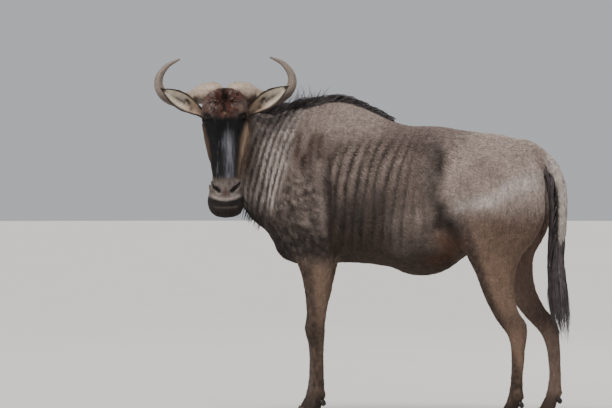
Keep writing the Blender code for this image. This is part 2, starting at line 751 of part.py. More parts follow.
def build_horn(side, body):
    matrix = head_matrix()
    bm = bmesh.new()
    rows = smooth_rows(HORN, 18)
    rings = []
    for i, (x, y, z, radius) in enumerate(rows):
        ahead, behind = rows[min(i + 1, len(rows) - 1)], rows[max(i - 1, 0)]
        along = Vector(ahead[:3] - behind[:3]).normalized()
        across = along.cross(Vector((0, 1, 0))).normalized()
        deep = along.cross(across)
        ring = [
            Vector((x, y, z)) + across * radius * math.cos(a) + deep * radius * math.sin(a)
            for a in np.linspace(0, 2 * math.pi, 10, endpoint=False)
        ]
        rings.append(ring)
    loft(bm, rings)
    cut = bmesh.ops.bisect_plane(
        bm, geom=bm.verts[:] + bm.edges[:] + bm.faces[:], dist=1e-6,
        plane_co=(HORN_MIDLINE, 0, 0), plane_no=(1, 0, 0), clear_inner=True,
    )
    edges = [item for item in cut["geom_cut"] if isinstance(item, bmesh.types.BMEdge)]
    if edges:
        bmesh.ops.edgenet_fill(bm, edges=edges)
    bmesh.ops.transform(bm, matrix=matrix @ Matrix.Diagonal((side, 1, 1, 1)), verts=bm.verts)
    horn = new_object("horn", bm)
    boolean(horn, [grown(body)])
    keep_largest(horn)
    return horn


def build_ear(side, trims):
    matrix = head_matrix()
    bm = bmesh.new()
    along = (EAR_TIP - EAR_ROOT).normalized()
    facing = (EAR_FACING - along * EAR_FACING.dot(along)).normalized()
    across = along.cross(facing)
    rings = []
    for share, half, wrap, thick in smooth_rows(EAR, 11):
        wrap = math.radians(wrap)
        radius = half / math.sin(min(wrap, math.pi / 2))
        bend = 0.004 * math.sin(math.pi * share)
        centre = EAR_ROOT.lerp(EAR_TIP, share) - facing * bend + facing * radius * 0.5
        outer = []
        inner = []
        for angle in np.linspace(-wrap, wrap, 7):
            aim = across * math.sin(angle) - facing * math.cos(angle)
            edge = 1 - 0.45 * abs(angle / wrap) ** 3
            outer.append(centre + aim * radius)
            inner.append(centre + aim * max(radius - thick * edge, radius * 0.3))
        rings.append(outer + inner[::-1])
    loft(bm, rings)
    bmesh.ops.transform(bm, matrix=matrix @ Matrix.Diagonal((side, 1, 1, 1)), verts=bm.verts)
    ear = new_object("ear", bm)
    boolean(ear, [grown(trim) for trim in trims])
    keep_largest(ear)
    return ear


def build_eye(side):
    bm = bmesh.new()
    eye = Vector((EYE_PLACE.x * side, EYE_PLACE.y, EYE_PLACE.z))
    ball(bm, head_matrix() @ eye, (EYE_RADIUS,) * 3, sides=15)
    return new_object("eye", bm)


def build_hoof(x, y):
    """Two claws joined under the coronet, with a cleft between them and flat soles."""
    bm = bmesh.new()
    rings = []
    for height, toe, heel, half in HOOF:
        ring = []
        for angle in np.linspace(0, 2 * math.pi, 16, endpoint=False):
            cos, sin = math.cos(angle), math.sin(angle)
            reach = toe if cos < 0 else heel
            broad = abs(sin) ** 0.8 * math.copysign(1, sin)
            ring.append(Vector((x + reach * cos, y + half * broad, height)))
        rings.append(ring)
    loft(bm, rings)
    point, normal = coronet_plane(x, y, GAP)
    cut = bmesh.ops.bisect_plane(
        bm, geom=bm.verts[:] + bm.edges[:] + bm.faces[:], dist=1e-6,
        plane_co=point, plane_no=normal, clear_outer=True,
    )
    edges = [item for item in cut["geom_cut"] if isinstance(item, bmesh.types.BMEdge)]
    bmesh.ops.edgenet_fill(bm, edges=edges)
    hoof = new_object("hoof", bm)
    width, height = CLEFT
    cleft = bmesh.new()
    bmesh.ops.create_cube(cleft, size=1)
    bmesh.ops.scale(cleft, vec=(0.080, width, height + 0.01), verts=cleft.verts)
    bmesh.ops.translate(cleft, vec=(x - 0.020, y, (height - 0.01) / 2), verts=cleft.verts)
    boolean(hoof, [new_object("cleft", cleft)])
    keep_largest(hoof)
    return hoof


def build_dewclaw(x, y, side, body):
    radius, half, height = DEWCLAW
    bm = bmesh.new()
    turn = Matrix.Rotation(math.radians(-30), 4, "Y")
    bmesh.ops.create_uvsphere(
        bm, u_segments=8, v_segments=6, radius=1,
        matrix=Matrix.Translation((x, y + side * DEWCLAW_APART, height)) @ turn
        @ Matrix.Diagonal((radius, radius * 0.85, half, 1)),
    )
    claw = new_object("dewclaw", bm)
    boolean(claw, [grown(body)])
    keep_largest(claw)
    return claw


def surface_finder(item):
    mesh = item.data
    return BVHTree.FromPolygons([v.co for v in mesh.vertices], [p.vertices for p in mesh.polygons])


def push_out(finder, point, clearance):
    """The point, moved out of the skin to at least this clearance from it."""
    near, normal, _, _ = finder.find_nearest(point)
    height = (point - near).dot(normal)
    if height < clearance:
        point = near + normal * clearance
    return point


def make_lock(path, flats, half_width, half_thick, root_share=0.75):
    """One flat tapered lock of hair along the path, its flat side facing flats, one for all or one a point."""
    if isinstance(flats, Vector):
        flats = [flats] * len(path)
    bm = bmesh.new()
    last = len(path) - 1
    rings = []
    for i, point in enumerate(path):
        along = (path[min(i + 1, last)] - path[max(i - 1, 0)]).normalized()
        side = along.cross(flats[i]).normalized()
        up = side.cross(along)
        share = i / last
        swell = root_share + (1 - root_share) * math.sin(math.pi * min(share * 1.4, 1) / 2)
        taper = max(swell * (1 - share**2.2), 0.05)
        wide, thick = half_width * taper, max(half_thick * taper, 0.0008)
        rings.append([point + side * wide, point + up * thick, point - side * wide, point - up * thick])
    loft(bm, rings)
    return new_object("lock", bm)


def bent_path(root, start, length, fall, count):
    """Points that set out along start and drop under their own weight."""
    start = start.normalized()
    found = []
    for share in np.linspace(0, 1, count):
        drop = Vector((0, 0, -fall * length * share * share))
        found.append(root + start * length * share + drop)
    return found


def fuse_locks(core, locks, trims, trim_solver="EXACT"):
    """Joins the locks to their core, cuts what they grow from out of them and keeps the one body."""
    boolean(core, locks, "UNION", "MANIFOLD")
    boolean(core, [grown(trim) for trim in trims], "DIFFERENCE", trim_solver)
    keep_largest(core)
    return core


def crest_point(finder, x):
    """The top of the neck or withers at this x, where the crest bends with the neck near the head."""
    bend = max(NECK_BEND_X - x, 0) / 0.07
    hit, normal, _, _ = finder.ray_cast(Vector((x, -0.02 * bend * bend, 2.0)), Vector((0, 0, -1)))
    return hit, normal


def build_mane(finder, trims):
    """A low ridge along the crest and locks that stand on it, fall to the far side and lap the near side."""
    draw = random.Random(11)
    rings = []
    for x, rise, fall, half in smooth_rows(MANE, 26):
        hit, _ = crest_point(finder, x)
        ring = []
        for k in range(8):
            angle = 2 * math.pi * k / 8
            aside, up = math.cos(angle), math.sin(angle)
            y = (half if aside < 0 else half + fall * 0.22) * aside
            z = (rise * 0.45 if up > 0 else 0.030) * up - max(aside, 0) ** 2 * fall * 0.20
            ring.append(hit + Vector((0, y, z)))
        rings.append(ring)
    bm = bmesh.new()
    loft(bm, rings)
    core = new_object("mane", bm)
    locks = []
    for start, length, fall, count, half_width, lift in MANE_ROWS:
        for i in range(count):
            x = MANE[0][0] + 0.02 + (MANE[-1][0] - MANE[0][0] - 0.05) * (i + draw.uniform(0.2, 0.8)) / count
            share = np.interp(x, [row[0] for row in MANE], [row[1] for row in MANE]) / MANE_HEIGHT
            hit, _ = crest_point(finder, x)
            toss = Vector((draw.uniform(-0.1, 0.15), draw.uniform(-0.08, 0.08), 0))
            own = length * (0.55 + 0.45 * share) * draw.uniform(0.85, 1.12)
            if x < POLL_TUFT_X and abs(start.y) < 0.3:
                own *= POLL_TUFT_GAIN
            path = bent_path(hit + Vector((0, 0, -0.010)), start + toss, own, fall, 6)
            path[1:] = [push_out(finder, point, lift) for point in path[1:]]
            flats = [finder.find_nearest(point)[1] for point in path]
            if abs(start.y) < 0.3:
                flats = Vector((0, 1, 0.25))
            locks.append(make_lock(path, flats, half_width * (0.7 + 0.3 * share), 0.0055))
    return fuse_locks(core, locks, trims, "MANIFOLD")


def build_switch():
    """The end of the tail bone and the long hair that hangs round it."""
    draw = random.Random(5)
    rings = []
    for x, z, radius in smooth_rows(SWITCH, 8)[:5]:
        wide = radius * 0.62
        rings.append(
            [
                Vector((x + wide * math.sin(a), wide * math.cos(a), min(z, TAIL_END - GAP / 2)))
                for a in np.linspace(0, 2 * math.pi, 8, endpoint=False)
            ]
        )
    bm = bmesh.new()
    loft(bm, rings)
    core = new_object("tail_switch", bm)
    locks = []
    for count, top, length, spread in SWITCH_ROWS:
        for i in range(count):
            angle = 2 * math.pi * (i + draw.uniform(0.25, 0.75)) / count
            out = Vector((math.cos(angle), math.sin(angle), 0))
            own = length * draw.uniform(0.86, 1.08)
            path = []
            for share in np.linspace(0, 1, 5):
                z = top - own * share
                x = np.interp(-z, [-row[1] for row in SWITCH], [row[0] for row in SWITCH])
                radius = np.interp(-z, [-row[1] for row in SWITCH], [row[2] for row in SWITCH])
                reach = 0.004 + (radius * 0.85 + spread) * math.sin(math.pi * min(share * 0.75 + 0.02, 1))
                sway = 0.010 * share * share * draw.uniform(-1, 1)
                path.append(Vector((x + sway, 0, z)) + out * reach)
            locks.append(make_lock(path, out, 0.019, 0.0055))
    return fuse_locks(core, locks, [])


def build_beard(trims):
    """Locks that hang in a fringe from the chin along the jaws to the throat."""
    draw = random.Random(23)
    matrix = head_matrix()
    rings = []
    rows = smooth_rows(BEARD, 10)
    for i, (down, out, half, length) in enumerate(rows):
        thick = 0.004 + 0.012 * math.sin(math.pi * (i + 0.5) / len(rows))
        ring = []
        for k in range(8):
            angle = 2 * math.pi * k / 8
            away = thick * math.sin(angle) * (1.0 if math.sin(angle) > 0 else 1.6)
            ring.append(matrix @ Vector((half * 0.8 * math.cos(angle), out - away, down)))
        rings.append(ring)
    bm = bmesh.new()
    loft(bm, rings)
    core = new_object("beard", bm)
    locks = []
    for side in (-1, 0, 1):
        for i in range(BEARD_LOCKS):
            share = (i + draw.uniform(0.2, 0.8)) / BEARD_LOCKS
            down, out, half, length = smooth_rows(BEARD, 41)[int(share * 40)]
            root = matrix @ Vector((side * half * 0.7, out + 0.012, down))
            start = Vector((side * 0.30 + draw.uniform(-0.12, 0.12), 0.75 + draw.uniform(-0.1, 0.15), -0.8))
            own = (length + 0.018) * draw.uniform(0.85, 1.12) * (1 if side == 0 else 0.8)
            path = bent_path(root, start, own, 0.35, 5)
            locks.append(make_lock(path, Vector((0.25 * side, 0.8, 0.6)), 0.016, 0.0045))
    return fuse_locks(core, locks, trims)


def build_throat(finder, trims):
    """A short fringe down the middle of the throat and the front of the neck."""
    draw = random.Random(37)
    places = []
    for z in np.linspace(THROAT_TOP, THROAT_LOW, 12):
        hit, normal, _, _ = finder.ray_cast(Vector((-1.2, THROAT_Y, z)), Vector((1, 0, 0)))
        places.append((hit, normal))
    rings = []
    for i, (hit, normal) in enumerate(places):
        share = math.sin(math.pi * (i + 0.5) / len(places))
        ring = []
        for k in range(6):
            angle = 2 * math.pi * k / 6
            out = normal * ((0.010 if math.sin(angle) > 0 else 0.014) * share + 0.001) * math.sin(angle)
            ring.append(hit + out + Vector((0, 0.016 * share * math.cos(angle), 0)))
        rings.append(ring)
    bm = bmesh.new()
    loft(bm, rings)
    core = new_object("throat_fringe", bm)
    locks = []
    for i in range(1, len(places) - 1, 2):
        hit, normal = places[i]
        for side in (-1, 1):
            root = hit - normal * 0.008 + Vector((0, side * 0.006, draw.uniform(-0.008, 0.008)))
            start = normal * 0.55 + Vector((0, side * draw.uniform(0.05, 0.25), -0.8))
            own = THROAT_LENGTH * draw.uniform(0.8, 1.15) * (0.6 + 0.4 * math.sin(math.pi * i / len(places)))
            path = bent_path(root, start, own, 0.25, 5)
            path[2:] = [push_out(finder, point, 0.004) for point in path[2:]]
            locks.append(make_lock(path, normal, 0.017, 0.0045))
    return fuse_locks(core, locks, trims)


def decimated(item, triangles):
    """The same surface in about this many triangles."""
    item.data.calc_loop_triangles()
    thin = item.modifiers.new("thin", "DECIMATE")
    thin.ratio = triangles / len(item.data.loop_triangles)
    thin.use_collapse_triangulate = True
    apply_modifiers(item)


def thin_body(body):
    """Thins the trunk and legs first, with the head kept whole, and then the head."""
    thinned = body.vertex_groups.new(name="thinned")
    weights = ramp(headness(points_of(body.data)), 0.02, 0.2)
    for index in np.nonzero(weights < 1)[0]:
        thinned.add([int(index)], float(1 - weights[index]), "REPLACE")
    body.data.calc_loop_triangles()
    corners = np.empty(len(body.data.loop_triangles) * 3, np.int64)
    body.data.loop_triangles.foreach_get("vertices", corners)
    in_head_count = int((weights[corners.reshape(-1, 3)].mean(axis=1) > 0.5).sum())
    thin = body.modifiers.new("thin", "DECIMATE")
    thin.ratio = (TRUNK_TRIANGLES + in_head_count) / len(body.data.loop_triangles)
    thin.vertex_group = thinned.name
    thin.vertex_group_factor = 10
    thin.use_collapse_triangulate = True
    apply_modifiers(body)
    decimated(body, TRUNK_TRIANGLES + HEAD_TRIANGLES)


def finish_nodes(nodes, group):
    """Names and colours the nodes and stands the animal over the origin, each with its own middle."""
    points = np.concatenate([points_of(item.data) for item in nodes.values()])
    low, high = points.min(axis=0), points.max(axis=0)
    base = Vector(((low[0] + high[0]) / 2, (low[1] + high[1]) / 2, low[2]))
    animal = bpy.data.objects.new("wildebeest", None)
    group.objects.link(animal)
    for name, item in nodes.items():
        item.name = name
        item.data.name = name
        for used in list(item.users_collection):
            used.objects.unlink(item)
        group.objects.link(item)
        own = points_of(item.data)
        middle = Vector((own.max(axis=0) + own.min(axis=0)) / 2)
        item.data.transform(Matrix.Translation(-middle))
        item.location = middle - base
        item.parent = animal
        kind = max((key for key in COLOURS if name.startswith(key)), key=len)
        colour, roughness = COLOURS[kind]
        item.data.materials.clear()
        item.data.materials.append(material(name, colour, roughness))
        item.data.shade_smooth()
        item.data.set_sharp_from_angle(angle=math.radians(40))


def main():
    clear_scene()
    work = collection(WORK, True)
    wildebeest = collection("wildebeest")
    body = body_form()
    thin_body(body)
    whole = duplicate(body, "whole")
    finder = surface_finder(whole)
    nodes = part_body(body)
    carve_head(nodes["head"])
    horns = []
    ears = []
    for name, side in HEAD_SIDES.items():
        horns.append(build_horn(side, whole))
        nodes["horn_" + name] = horns[-1]
    for name, side in HEAD_SIDES.items():
        ears.append(build_ear(side, [whole] + horns))
        nodes["ear_" + name] = ears[-1]
        nodes["eye_" + name] = build_eye(side)
    for name, x, y in foot_places():
        nodes["hoof_" + name] = build_hoof(x, y)
        for place, side in (("inner", -1), ("outer", 1)):
            claw = build_dewclaw(x + DEWCLAW_BACK[name[:4]], y, side * math.copysign(1, y), whole)
            nodes["dewclaw_" + name + "_" + place] = claw
    nodes["mane"] = build_mane(finder, [whole] + horns + ears)
    nodes["beard"] = build_beard([whole])
    nodes["throat_fringe"] = build_throat(finder, [whole, nodes["beard"]])
    nodes["tail_switch"] = build_switch()
    finish_nodes(nodes, wildebeest)
    for item in list(work.objects):
        bpy.data.objects.remove(item, do_unlink=True)
    bpy.data.collections.remove(work)


main()
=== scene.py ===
"""Dressed model of a still wildebeest: skin, coat, hair, head, horns, hooves, and the stage it stands on."""

import math
import random

import bmesh
import bpy
import numpy as np
from mathutils import Matrix, Vector
from mathutils.bvhtree import BVHTree


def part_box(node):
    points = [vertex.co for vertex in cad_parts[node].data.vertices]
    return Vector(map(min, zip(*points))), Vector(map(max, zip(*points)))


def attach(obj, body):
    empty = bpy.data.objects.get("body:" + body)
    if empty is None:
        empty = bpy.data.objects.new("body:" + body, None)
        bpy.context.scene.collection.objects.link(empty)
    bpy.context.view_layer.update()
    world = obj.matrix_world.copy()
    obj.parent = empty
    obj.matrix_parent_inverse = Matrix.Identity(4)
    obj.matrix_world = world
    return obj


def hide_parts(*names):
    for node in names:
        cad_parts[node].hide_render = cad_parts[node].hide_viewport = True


bl_info = {
    "name": "Wildebeest",
    "version": (1, 0, 0),
    "blender": (4, 5, 0),
    "location": "View3D > Sidebar > Wildebeest",
    "description": "Dresses a life-size still wildebeest with skin, coat, hair, horns and hooves",
    "category": "Object",
}

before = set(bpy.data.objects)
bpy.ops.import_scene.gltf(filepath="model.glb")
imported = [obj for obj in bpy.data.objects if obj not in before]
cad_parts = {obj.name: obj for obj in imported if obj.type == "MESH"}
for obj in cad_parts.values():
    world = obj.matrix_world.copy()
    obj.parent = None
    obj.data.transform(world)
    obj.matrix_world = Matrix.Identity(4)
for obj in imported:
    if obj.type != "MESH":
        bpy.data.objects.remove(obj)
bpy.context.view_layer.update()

# Sizes of the animal in its own frame: metres, facing -X, its left side -Y
RING = 28  # points round each section of a loft
SIDES = {"left": -1, "right": 1}  # the animal's left is -Y
HEAD_SIDES = {"left": 1, "right": -1}  # in the head's own frame
X_AXIS, Y_AXIS, Z_AXIS = Vector((1, 0, 0)), Vector((0, 1, 0)), Vector((0, 0, 1))
# Head: where the poll is, which way the face looks and how steeply it hangs
HEAD_POLL = Vector((-0.700, -0.190, 1.365))
FACE_AZIMUTH = math.radians(7)
FACE_PITCH = math.radians(75)
FACE_ROLL = math.radians(1.2)
EYE_RADIUS = 0.0205
EYE_PLACE = Vector((0.0610, 0.014, 0.104))  # aside, out of the face, down the face
EYE_OPENING = (0.0200, 0.0092)  # half length and half height of the gap between the lids
LID_THICKNESS = 0.005
SOCKET_PLAY = 0.0004  # between an eyeball and its socket
CORNEA_RISE = 0.0009
EYE_COLOURS = {
    "eyeball": (0.20, 0.155, 0.13), "pupil": (0.035, 0.025, 0.022), "lids": (0.075, 0.06, 0.058),
}
# Lids, from their edge outwards and back inside: growth of the opening, height over the eyeball
LID_PROFILE = (
    (0.90, 0.0002), (0.93, 0.0016), (1.01, 0.0031), (1.12, 0.0040), (1.24, 0.0038),
    (1.34, 0.0046), (1.46, 0.0040), (1.52, 0.0016), (1.20, -0.0014), (0.98, -0.0006),
)
# Brow, wing of the nostril and cheek on each side of the head: place, half sizes
HEAD_LUMPS = (
    ((0.060, 0.026, 0.078), (0.034, 0.022, 0.028)),
    ((0.047, 0.014, 0.402), (0.025, 0.030, 0.026)),
    ((0.060, -0.060, 0.150), (0.034, 0.062, 0.080)),
)
# Point of the shoulder, point of the hip and buttock on each side: place, half sizes
MUSCLES = (
    ((-0.445, 0.105, 0.905), (0.075, 0.070, 0.080)),
    ((0.215, 0.148, 1.105), (0.060, 0.045, 0.045)),
    ((0.540, 0.075, 0.975), (0.070, 0.062, 0.120)),
)
BRISKET = ((-0.437, 0.0, 0.772), (0.092, 0.092, 0.106))
SHEATH = ((0.070, 0.0, 0.630), (0.075, 0.026, 0.020))
SHEATH_STEP = (np.array((-0.015, 0, 0.615)), np.array((0.075, 0.07, 0.05)))  # what is evened before it
# Trunk sections: x, top, underside, widest level, half width, how much the top narrows
TRUNK = (
    (-0.590, 0.960, 0.835, 0.895, 0.040, 0.0),
    (-0.562, 1.060, 0.800, 0.900, 0.082, 0.1),
    (-0.480, 1.200, 0.694, 0.880, 0.132, 0.2),
    (-0.420, 1.284, 0.654, 0.875, 0.160, 0.3),
    (-0.340, 1.330, 0.648, 0.880, 0.182, 0.42),
    (-0.250, 1.340, 0.662, 0.890, 0.198, 0.46),
    (-0.150, 1.312, 0.660, 0.895, 0.216, 0.38),
    (-0.050, 1.262, 0.648, 0.895, 0.236, 0.25),
    (0.030, 1.232, 0.624, 0.890, 0.252, 0.15),
    (0.100, 1.230, 0.611, 0.890, 0.258, 0.1),
    (0.180, 1.226, 0.628, 0.900, 0.250, 0.1),
    (0.260, 1.212, 0.680, 0.930, 0.230, 0.1),
    (0.340, 1.202, 0.740, 0.960, 0.212, 0.1),
    (0.420, 1.194, 0.790, 0.980, 0.198, 0.12),
    (0.500, 1.166, 0.830, 0.985, 0.172, 0.12),
    (0.560, 1.112, 0.870, 0.985, 0.128, 0.1),
    (0.596, 1.030, 0.910, 0.970, 0.060, 0.0),
)
# Neck sections: centre, half width, depth above, depth below
NECK = (
    ((-0.200, 0.000, 1.000), 0.168, 0.290, 0.250),
    ((-0.340, 0.000, 1.045), 0.162, 0.280, 0.280),
    ((-0.465, 0.002, 1.090), 0.140, 0.242, 0.305),
    ((-0.570, 0.003, 1.140), 0.116, 0.192, 0.235),
    ((-0.640, -0.020, 1.192), 0.100, 0.132, 0.165),
    ((-0.686, -0.078, 1.240), 0.090, 0.098, 0.125),
    ((-0.698, -0.140, 1.268), 0.078, 0.070, 0.105),
)
# Head sections: distance down the face, forehead side, jaw side, widest level, half width, narrowing of each
SKULL = (
    (-0.022, -0.010, -0.060, -0.035, 0.035, 0.0, 0.0),
    (-0.010, 0.022, -0.105, -0.036, 0.070, 0.1, 0.1),
    (0.020, 0.046, -0.135, -0.030, 0.090, 0.12, 0.22),
    (0.060, 0.056, -0.152, -0.022, 0.098, 0.18, 0.30),
    (0.100, 0.057, -0.163, -0.018, 0.0985, 0.24, 0.36),
    (0.140, 0.055, -0.167, -0.018, 0.094, 0.28, 0.38),
    (0.185, 0.055, -0.162, -0.022, 0.087, 0.30, 0.36),
    (0.232, 0.056, -0.146, -0.026, 0.0795, 0.32, 0.32),
    (0.280, 0.057, -0.124, -0.026, 0.069, 0.32, 0.30),
    (0.325, 0.056, -0.103, -0.022, 0.059, 0.30, 0.26),
    (0.360, 0.054, -0.090, -0.017, 0.056, 0.24, 0.20),
    (0.395, 0.051, -0.081, -0.014, 0.065, 0.16, 0.16),
    (0.430, 0.045, -0.076, -0.013, 0.074, 0.10, 0.12),
    (0.462, 0.036, -0.072, -0.014, 0.078, 0.06, 0.10),
    (0.488, 0.022, -0.068, -0.017, 0.073, 0.03, 0.10),
    (0.508, 0.002, -0.062, -0.022, 0.058, 0.0, 0.05),
    (0.520, -0.018, -0.050, -0.030, 0.036, 0.0, 0.0),
)
MOUTH_CORNER = Vector((0, -0.046, 0.402))
MOUTH_FRONT = Vector((0, 0.040, 0.500))
# Nostril slit, from its outer upper end: aside, out of the face, down the face, half height
NOSTRIL = (
    (0.074, -0.004, 0.380, 0.0050),
    (0.064, 0.012, 0.386, 0.0085),
    (0.052, 0.026, 0.397, 0.0095),
    (0.040, 0.036, 0.412, 0.0080),
    (0.027, 0.042, 0.427, 0.0040),
)
NOSTRIL_DEPTH = 0.017
# Horn: aside, out of the face, down the face, radius
HORN = (
    (0.010, -0.034, 0.010, 0.026),
    (0.045, -0.036, -0.012, 0.041),
    (0.087, -0.046, -0.012, 0.040),
    (0.135, -0.066, 0.002, 0.031),
    (0.180, -0.076, 0.010, 0.0255),
    (0.222, -0.078, 0.004, 0.0235),
    (0.258, -0.074, -0.020, 0.0215),
    (0.276, -0.066, -0.055, 0.019),
    (0.270, -0.058, -0.095, 0.0155),
    (0.240, -0.050, -0.133, 0.0105),
    (0.205, -0.045, -0.152, 0.006),
    (0.186, -0.043, -0.160, 0.003),
)
HORN_MIDLINE = 0.005  # how close each horn comes to the middle of the crown
# Ear: share of its length, half width, how far the cup wraps round in degrees, thickness
EAR_ROOT = Vector((0.070, -0.046, 0.088))
EAR_TIP = Vector((0.260, 0.004, -0.020))
EAR_FACING = Vector((0.10, 0.93, 0.35))
EAR = (
    (0.00, 0.018, 150, 0.0070),
    (0.18, 0.020, 135, 0.0055),
    (0.32, 0.027, 100, 0.0045),
    (0.48, 0.0360, 78, 0.0040),
    (0.62, 0.0365, 70, 0.0036),
    (0.76, 0.0295, 64, 0.0032),
    (0.88, 0.0170, 60, 0.0028),
    (0.96, 0.0080, 55, 0.0024),
    (1.00, 0.0030, 50, 0.0018),
)
# Hoof: height, toe, heel, half width, all from the middle of the foot
HOOF = (
    (0.000, 0.052, 0.036, 0.0360),
    (0.012, 0.050, 0.037, 0.0365),
    (0.040, 0.038, 0.036, 0.0345),
    (0.075, 0.026, 0.034, 0.0320),
)
CORONET_HEIGHT = 0.050
CORONET_SLOPE = 0.30
CLEFT = (0.0036, 0.042)  # width, height
DEWCLAW = (0.0095, 0.0150, 0.090)  # radius, half length, height
DEWCLAW_BACK = {"fore": 0.052, "hind": 0.058}  # behind the middle of the foot
DEWCLAW_APART = 0.017  # each from the middle of the leg
# Where each foot stands: x of its middle
FORE_FOOT_X = -0.354
HIND_FOOT_X = 0.458
# Leg sections: height, fore-and-aft place, place aside, half length, half width
FORELEG = (
    (1.215, -0.275, 0.078, 0.070, 0.040),
    (1.120, -0.315, 0.106, 0.120, 0.058),
    (1.010, -0.352, 0.125, 0.150, 0.072),
    (0.900, -0.374, 0.138, 0.156, 0.079),
    (0.820, -0.368, 0.143, 0.142, 0.076),
    (0.750, -0.350, 0.141, 0.114, 0.068),
    (0.690, -0.336, 0.137, 0.087, 0.059),
    (0.620, -0.328, 0.133, 0.066, 0.051),
    (0.540, -0.325, 0.130, 0.052, 0.043),
    (0.460, -0.328, 0.128, 0.042, 0.037),
    (0.420, -0.331, 0.127, 0.039, 0.036),
    (0.385, -0.333, 0.127, 0.040, 0.038),
    (0.350, -0.330, 0.127, 0.034, 0.034),
    (0.305, -0.324, 0.127, 0.026, 0.026),
    (0.220, -0.321, 0.127, 0.0235, 0.023),
    (0.155, -0.321, 0.127, 0.026, 0.025),
    (0.120, -0.322, 0.127, 0.032, 0.030),
    (0.092, -0.332, 0.127, 0.029, 0.030),
    (0.060, -0.346, 0.127, 0.033, 0.034),
    (0.020, -0.356, 0.127, 0.031, 0.031),
)
HINDLEG = (
    (1.130, 0.410, 0.085, 0.090, 0.060),
    (1.030, 0.408, 0.102, 0.155, 0.090),
    (0.930, 0.416, 0.114, 0.194, 0.103),
    (0.830, 0.420, 0.122, 0.186, 0.100),
    (0.755, 0.413, 0.127, 0.152, 0.088),
    (0.695, 0.404, 0.131, 0.114, 0.074),
    (0.622, 0.411, 0.134, 0.083, 0.059),
    (0.540, 0.424, 0.137, 0.064, 0.046),
    (0.470, 0.450, 0.138, 0.056, 0.038),
    (0.425, 0.478, 0.138, 0.057, 0.036),
    (0.385, 0.497, 0.138, 0.045, 0.035),
    (0.345, 0.503, 0.138, 0.034, 0.031),
    (0.290, 0.503, 0.138, 0.028, 0.026),
    (0.205, 0.499, 0.138, 0.0255, 0.0235),
    (0.155, 0.496, 0.138, 0.028, 0.026),
    (0.122, 0.494, 0.138, 0.033, 0.031),
    (0.094, 0.482, 0.138, 0.030, 0.030),
    (0.060, 0.466, 0.138, 0.033, 0.034),
    (0.020, 0.456, 0.138, 0.031, 0.031),
)
RIGHT_FORE_STEP = -0.052
RIGHT_HIND_STEP = 0.137
STEP_SPREAD = (0.95, 0.15)  # levels between which a step takes effect
# Tail bone: x, z, radius
TAIL = (
    (0.455, 1.120, 0.060),
    (0.520, 1.128, 0.048),
    (0.578, 1.104, 0.038),
    (0.628, 1.058, 0.031),
    (0.658, 0.990, 0.029),
    (0.668, 0.900, 0.0275),
    (0.664, 0.800, 0.026),
    (0.656, 0.700, 0.023),
    (0.652, 0.640, 0.019),
)
# Switch: x, z, radius, beyond the end of the tail
SWITCH = (
    (0.656, 0.712, 0.018),
    (0.652, 0.620, 0.033),
    (0.656, 0.520, 0.042),
    (0.668, 0.430, 0.037),
    (0.680, 0.370, 0.020),
    (0.686, 0.330, 0.005),
)
# Mane: x, how far it stands above the skin
MANE = (
    (-0.665, 0.006),
    (-0.640, 0.028),
    (-0.580, 0.038),
    (-0.480, 0.042),
    (-0.380, 0.042),
    (-0.280, 0.038),
    (-0.180, 0.036),
    (-0.090, 0.028),
    (-0.020, 0.008),
)
MANE_HEIGHT = 0.042
NECK_BEND_X = -0.57  # in front of this the crest bends with the neck
# Beard: distance down the face, out of the face, half width, length
BEARD = (
    (0.470, -0.058, 0.014, 0.018),
    (0.420, -0.070, 0.022, 0.045),
    (0.350, -0.092, 0.026, 0.070),
    (0.280, -0.120, 0.028, 0.085),
    (0.215, -0.146, 0.028, 0.080),
    (0.170, -0.160, 0.020, 0.050),
)
THROAT_TOP = 1.060
THROAT_LOW = 0.840
THROAT_Y = -0.004
FORM_VOXEL = 0.0081  # grain of the fused skin
CLEAR_COAT_ROUGHNESS = 0.02
MAP_EDGES = (0.002, 0.995)  # of the flat map of the skin
TRUNK_SMOOTHING = 24  # rounds
FLESH_NODES = ("head", "neck", "torso", "tail") + tuple(
    limb + part + side
    for limb in ("foreleg_", "hindleg_")
    for part in ("upper_", "lower_")
    for side in SIDES
)
BODY = "root"  # the one body of the frame
BAKE_MAP = "OFBake"
BAKE_PATCH = 0.003  # how much of the map one tuft takes
# Soft ridges and hollows of the trunk: start and end in x and z, width, height out of the skin
TRUNK_RELIEF = (
    ((-0.205, 1.200), (-0.330, 0.960), 0.030, 0.006),
    ((-0.262, 1.090), (-0.258, 0.700), 0.017, -0.009),
    ((-0.440, 1.180), (-0.415, 0.900), 0.028, -0.005),
    ((-0.300, 0.860), (-0.285, 0.740), 0.024, 0.007),
    ((-0.310, 1.060), (-0.290, 0.900), 0.022, 0.004),
    ((0.196, 1.150), (0.206, 1.010), 0.024, -0.009),
    ((0.190, 0.960), (0.175, 0.800), 0.034, -0.014),
    ((0.250, 1.120), (0.330, 1.000), 0.045, 0.005),
    ((0.475, 1.020), (0.500, 0.800), 0.026, -0.005),
    ((0.330, 0.860), (0.350, 0.740), 0.030, 0.004),
)
